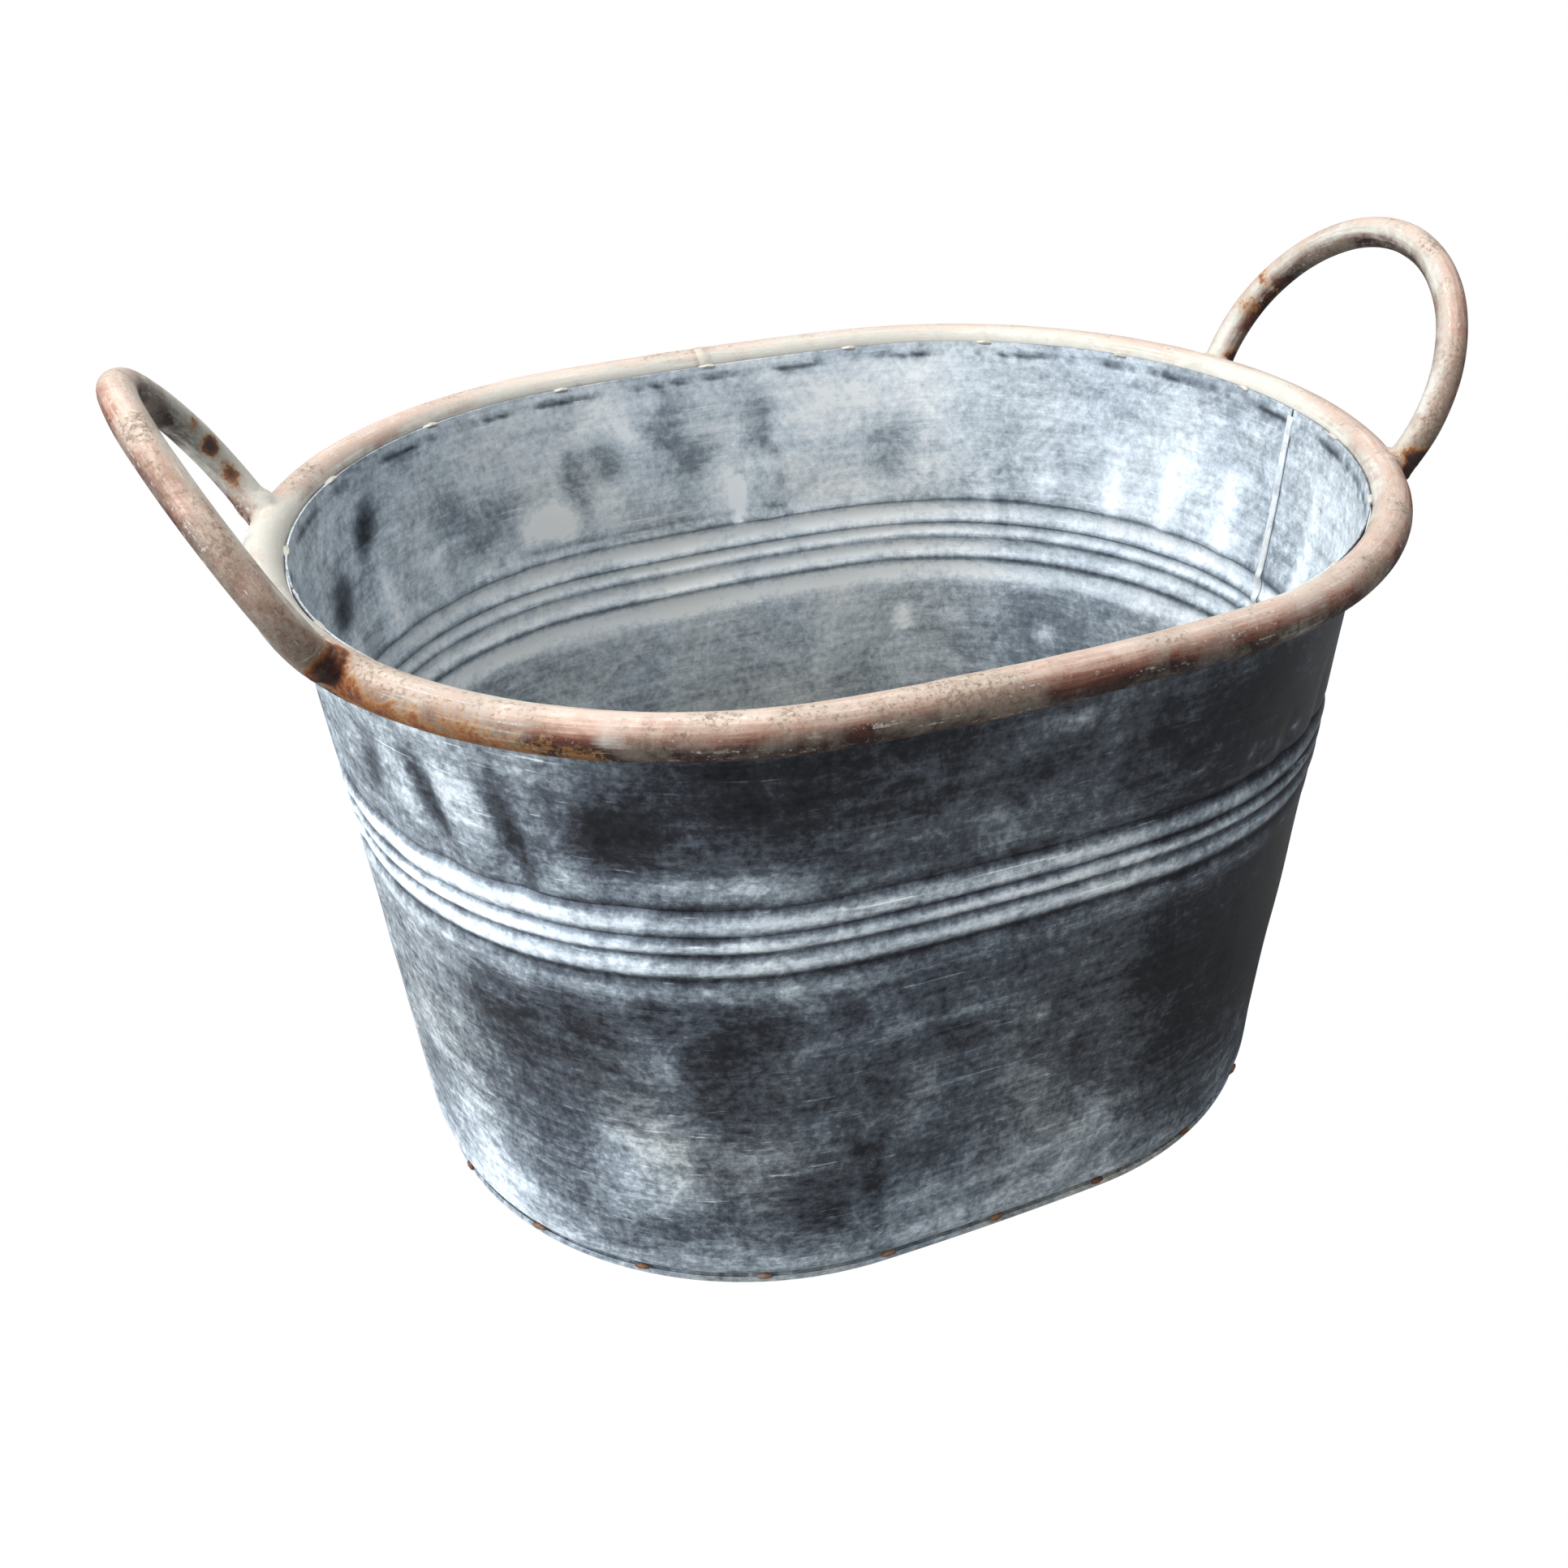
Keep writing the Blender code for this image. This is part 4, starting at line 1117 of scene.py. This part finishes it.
# %% Lump finishes
def lump_finish(name, stops, metallic, rough, lean):
    """Frozen metal: a mottled ramp of colours with a pitted skin."""
    made, tree, shader = finish(name)
    place = add(tree, "ShaderNodeTexCoord").outputs["Object"]
    blotch = add(tree, "ShaderNodeTexNoise", {"Vector": place, "Scale": 190.0, "Detail": 6.0,
                                              "Roughness": 0.7})
    wide = add(tree, "ShaderNodeTexNoise", {"Vector": place, "Scale": 23.0, "Detail": 3.0})
    both = add(tree, "ShaderNodeMath", {0: wide.outputs["Fac"], 1: lean, 2: blotch.outputs["Fac"]},
               operation="MULTIPLY_ADD")
    body = add(tree, "ShaderNodeValToRGB", {"Fac": both.outputs[0]}, ramp=stops)
    tree.links.new(body.outputs["Color"], shader.inputs["Base Color"])
    shader.inputs["Metallic"].default_value = metallic
    skin = add(tree, "ShaderNodeMapRange", {"Value": blotch.outputs["Fac"], "To Min": rough,
                                            "To Max": rough + 0.25})
    tree.links.new(skin.outputs[0], shader.inputs["Roughness"])
    pits = add(tree, "ShaderNodeBump", {"Height": blotch.outputs["Fac"], "Strength": 0.5, "Distance": 0.0004})
    tree.links.new(pits.outputs[0], shader.inputs["Normal"])
    return made


rusty_weld = lump_finish("weld_metal_rusted_as_run", [(0.55, "#77726c"), (0.8, "#7a5236"), (1.0, "#452414")],
                         0.3, 0.55, 0.6)
pale_weld = lump_finish("weld_metal_under_zinc_bloom", [(0.5, "#77756f"), (0.8, "#aaa79e"), (1.0, "#8d8578")],
                        0.2, 0.5, 0.6)
solder = lump_finish("tin_solder_run_by_iron", [(0.45, "#9aa1a5"), (0.75, "#dfe3e4"), (1.05, "#c9c2b2")],
                     0.4, 0.4, 0.5)
print(rusty_weld.name, pale_weld.name, solder.name)

# %% [markdown]
# ## Dressing and placing
# Every piece gets its finish and rides on the one body, and the CAD nodes it stands for are hidden.

# %% Dress
def dress(piece, material, slot, *nodes):
    """Finish, body and the CAD nodes that a piece stands for, which are hidden; slot is not used."""
    piece.data.materials.clear()
    piece.data.materials.append(material)
    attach(piece, "root")
    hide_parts(*nodes)


dress(wall_front, zinc, "zinc_sheet", "wall_front")
dress(wall_back, zinc, "zinc_sheet", "wall_back")
dress(bottom, zinc, "zinc_sheet", "bottom_pan")
dress(hoop, tube_steel, "aged_steel_tube", "rim_hoop")
dress(joint, tube_steel, "weld_metal", "hoop_joint_weld")
for key, piece in handles.items():
    dress(piece, tube_steel, "aged_steel_tube", "handle_" + key)
for (key, end), piece in fillets.items():
    dress(piece, tube_steel, "weld_metal", "handle_weld_" + key + "_" + end)
for key, piece in seams.items():
    dress(piece, solder, "solder", "seam_solder_" + key)
for node, piece in tacks.items():
    dress(piece, pale_weld if node.startswith("rim") else rusty_weld, "weld_metal", node)

# %% [markdown]
# ## Floor, light and camera
# A plain pale floor and a soft studio: a big source at the left, the side the bucket is brightest from,
# a broad one above and an even surround that is darker below. The ground that the metal reflects is
# dim, as out of doors, and the camera sees it white.

# %% Floor and surround
nothing()
bpy.ops.mesh.primitive_plane_add(size=12, location=(0, 0, -0.4 * MM))
floor = newest("floor")
ground = bpy.data.materials.new("pale_floor")
ground.use_nodes = True
tree = ground.node_tree
tree.nodes.clear()
seen = add(tree, "ShaderNodeLightPath").outputs["Is Camera Ray"]
dim = add(tree, "ShaderNodeBsdfDiffuse", {"Color": linear("#8a8a88")})
white = add(tree, "ShaderNodeEmission", {"Color": linear("#ffffff"), "Strength": 1.0})
both = add(tree, "ShaderNodeMixShader", {0: seen, 1: dim.outputs[0], 2: white.outputs[0]})
add(tree, "ShaderNodeOutputMaterial", {"Surface": both.outputs[0]})
floor.data.materials.append(ground)

world = bpy.data.worlds.new("soft_studio")
bpy.context.scene.world = world
world.use_nodes = True
tree = world.node_tree
tree.nodes.clear()
seen = add(tree, "ShaderNodeLightPath").outputs["Is Camera Ray"]
facing = add(tree, "ShaderNodeTexCoord").outputs["Generated"]
side = add(tree, "ShaderNodeVectorMath", {0: facing, 1: (-0.45, 0.05, 0.85)}, operation="DOT_PRODUCT")
level = add(tree, "ShaderNodeMapRange", {"Value": side.outputs["Value"], "From Min": -0.35, "From Max": 0.95,
                                         "To Min": 0.16, "To Max": 1.5})
lit = add(tree, "ShaderNodeBackground", {"Color": linear("#f4f8ff"), "Strength": level.outputs[0]})
plain = add(tree, "ShaderNodeBackground", {"Color": linear("#ffffff"), "Strength": 1.0})
both = add(tree, "ShaderNodeMixShader", {0: seen, 1: lit.outputs[0], 2: plain.outputs[0]})
add(tree, "ShaderNodeOutputWorld", {"Surface": both.outputs[0]})


# %% Lamps
AIM_Z = 0.12                                    # middle of the bucket


def lamp(name, place, size, watts, colour):
    """Square area lamp aimed at the middle of the bucket."""
    nothing()
    aim = Vector((0, 0, AIM_Z)) - Vector(place)
    bpy.ops.object.light_add(type="AREA", location=place, rotation=aim.to_track_quat("-Z", "Y").to_euler())
    made = bpy.context.object
    made.name = name
    made.data.size = size
    made.data.energy = watts
    made.data.color = linear(colour)[:3]
    return made


lamp("left_softbox", (-1.5, -0.15, 0.75), 1.1, 31, "#f3f8ff")
lamp("overhead_softbox", (-0.2, 0.35, 1.6), 1.2, 28, "#fdfbf8")

# %% Camera
nothing()
yaw, pitch, roll = -0.4436, 0.5662, 0.0062
ahead = Matrix.Rotation(yaw, 3, "Z") @ Vector((0, math.cos(pitch), -math.sin(pitch)))
right = Matrix.Rotation(yaw, 3, "Z") @ Vector((1, 0, 0))
above = right.cross(ahead)
tilted = [math.cos(roll) * right + math.sin(roll) * above, math.cos(roll) * above - math.sin(roll) * right]
turn = Matrix((*tilted, -ahead)).transposed().to_euler()
bpy.ops.object.camera_add(location=(-0.2049, -0.4661, 0.4195), rotation=turn)
camera = bpy.context.object
camera.data.sensor_width = 36
camera.data.lens = 41.35
camera.data.shift_x = -0.0706
camera.data.shift_y = 0.0085
bpy.context.scene.camera = camera
bpy.context.scene.view_settings.view_transform = "Standard"
print("camera at", [round(v, 3) for v in camera.location])

# %% Finish
nothing()
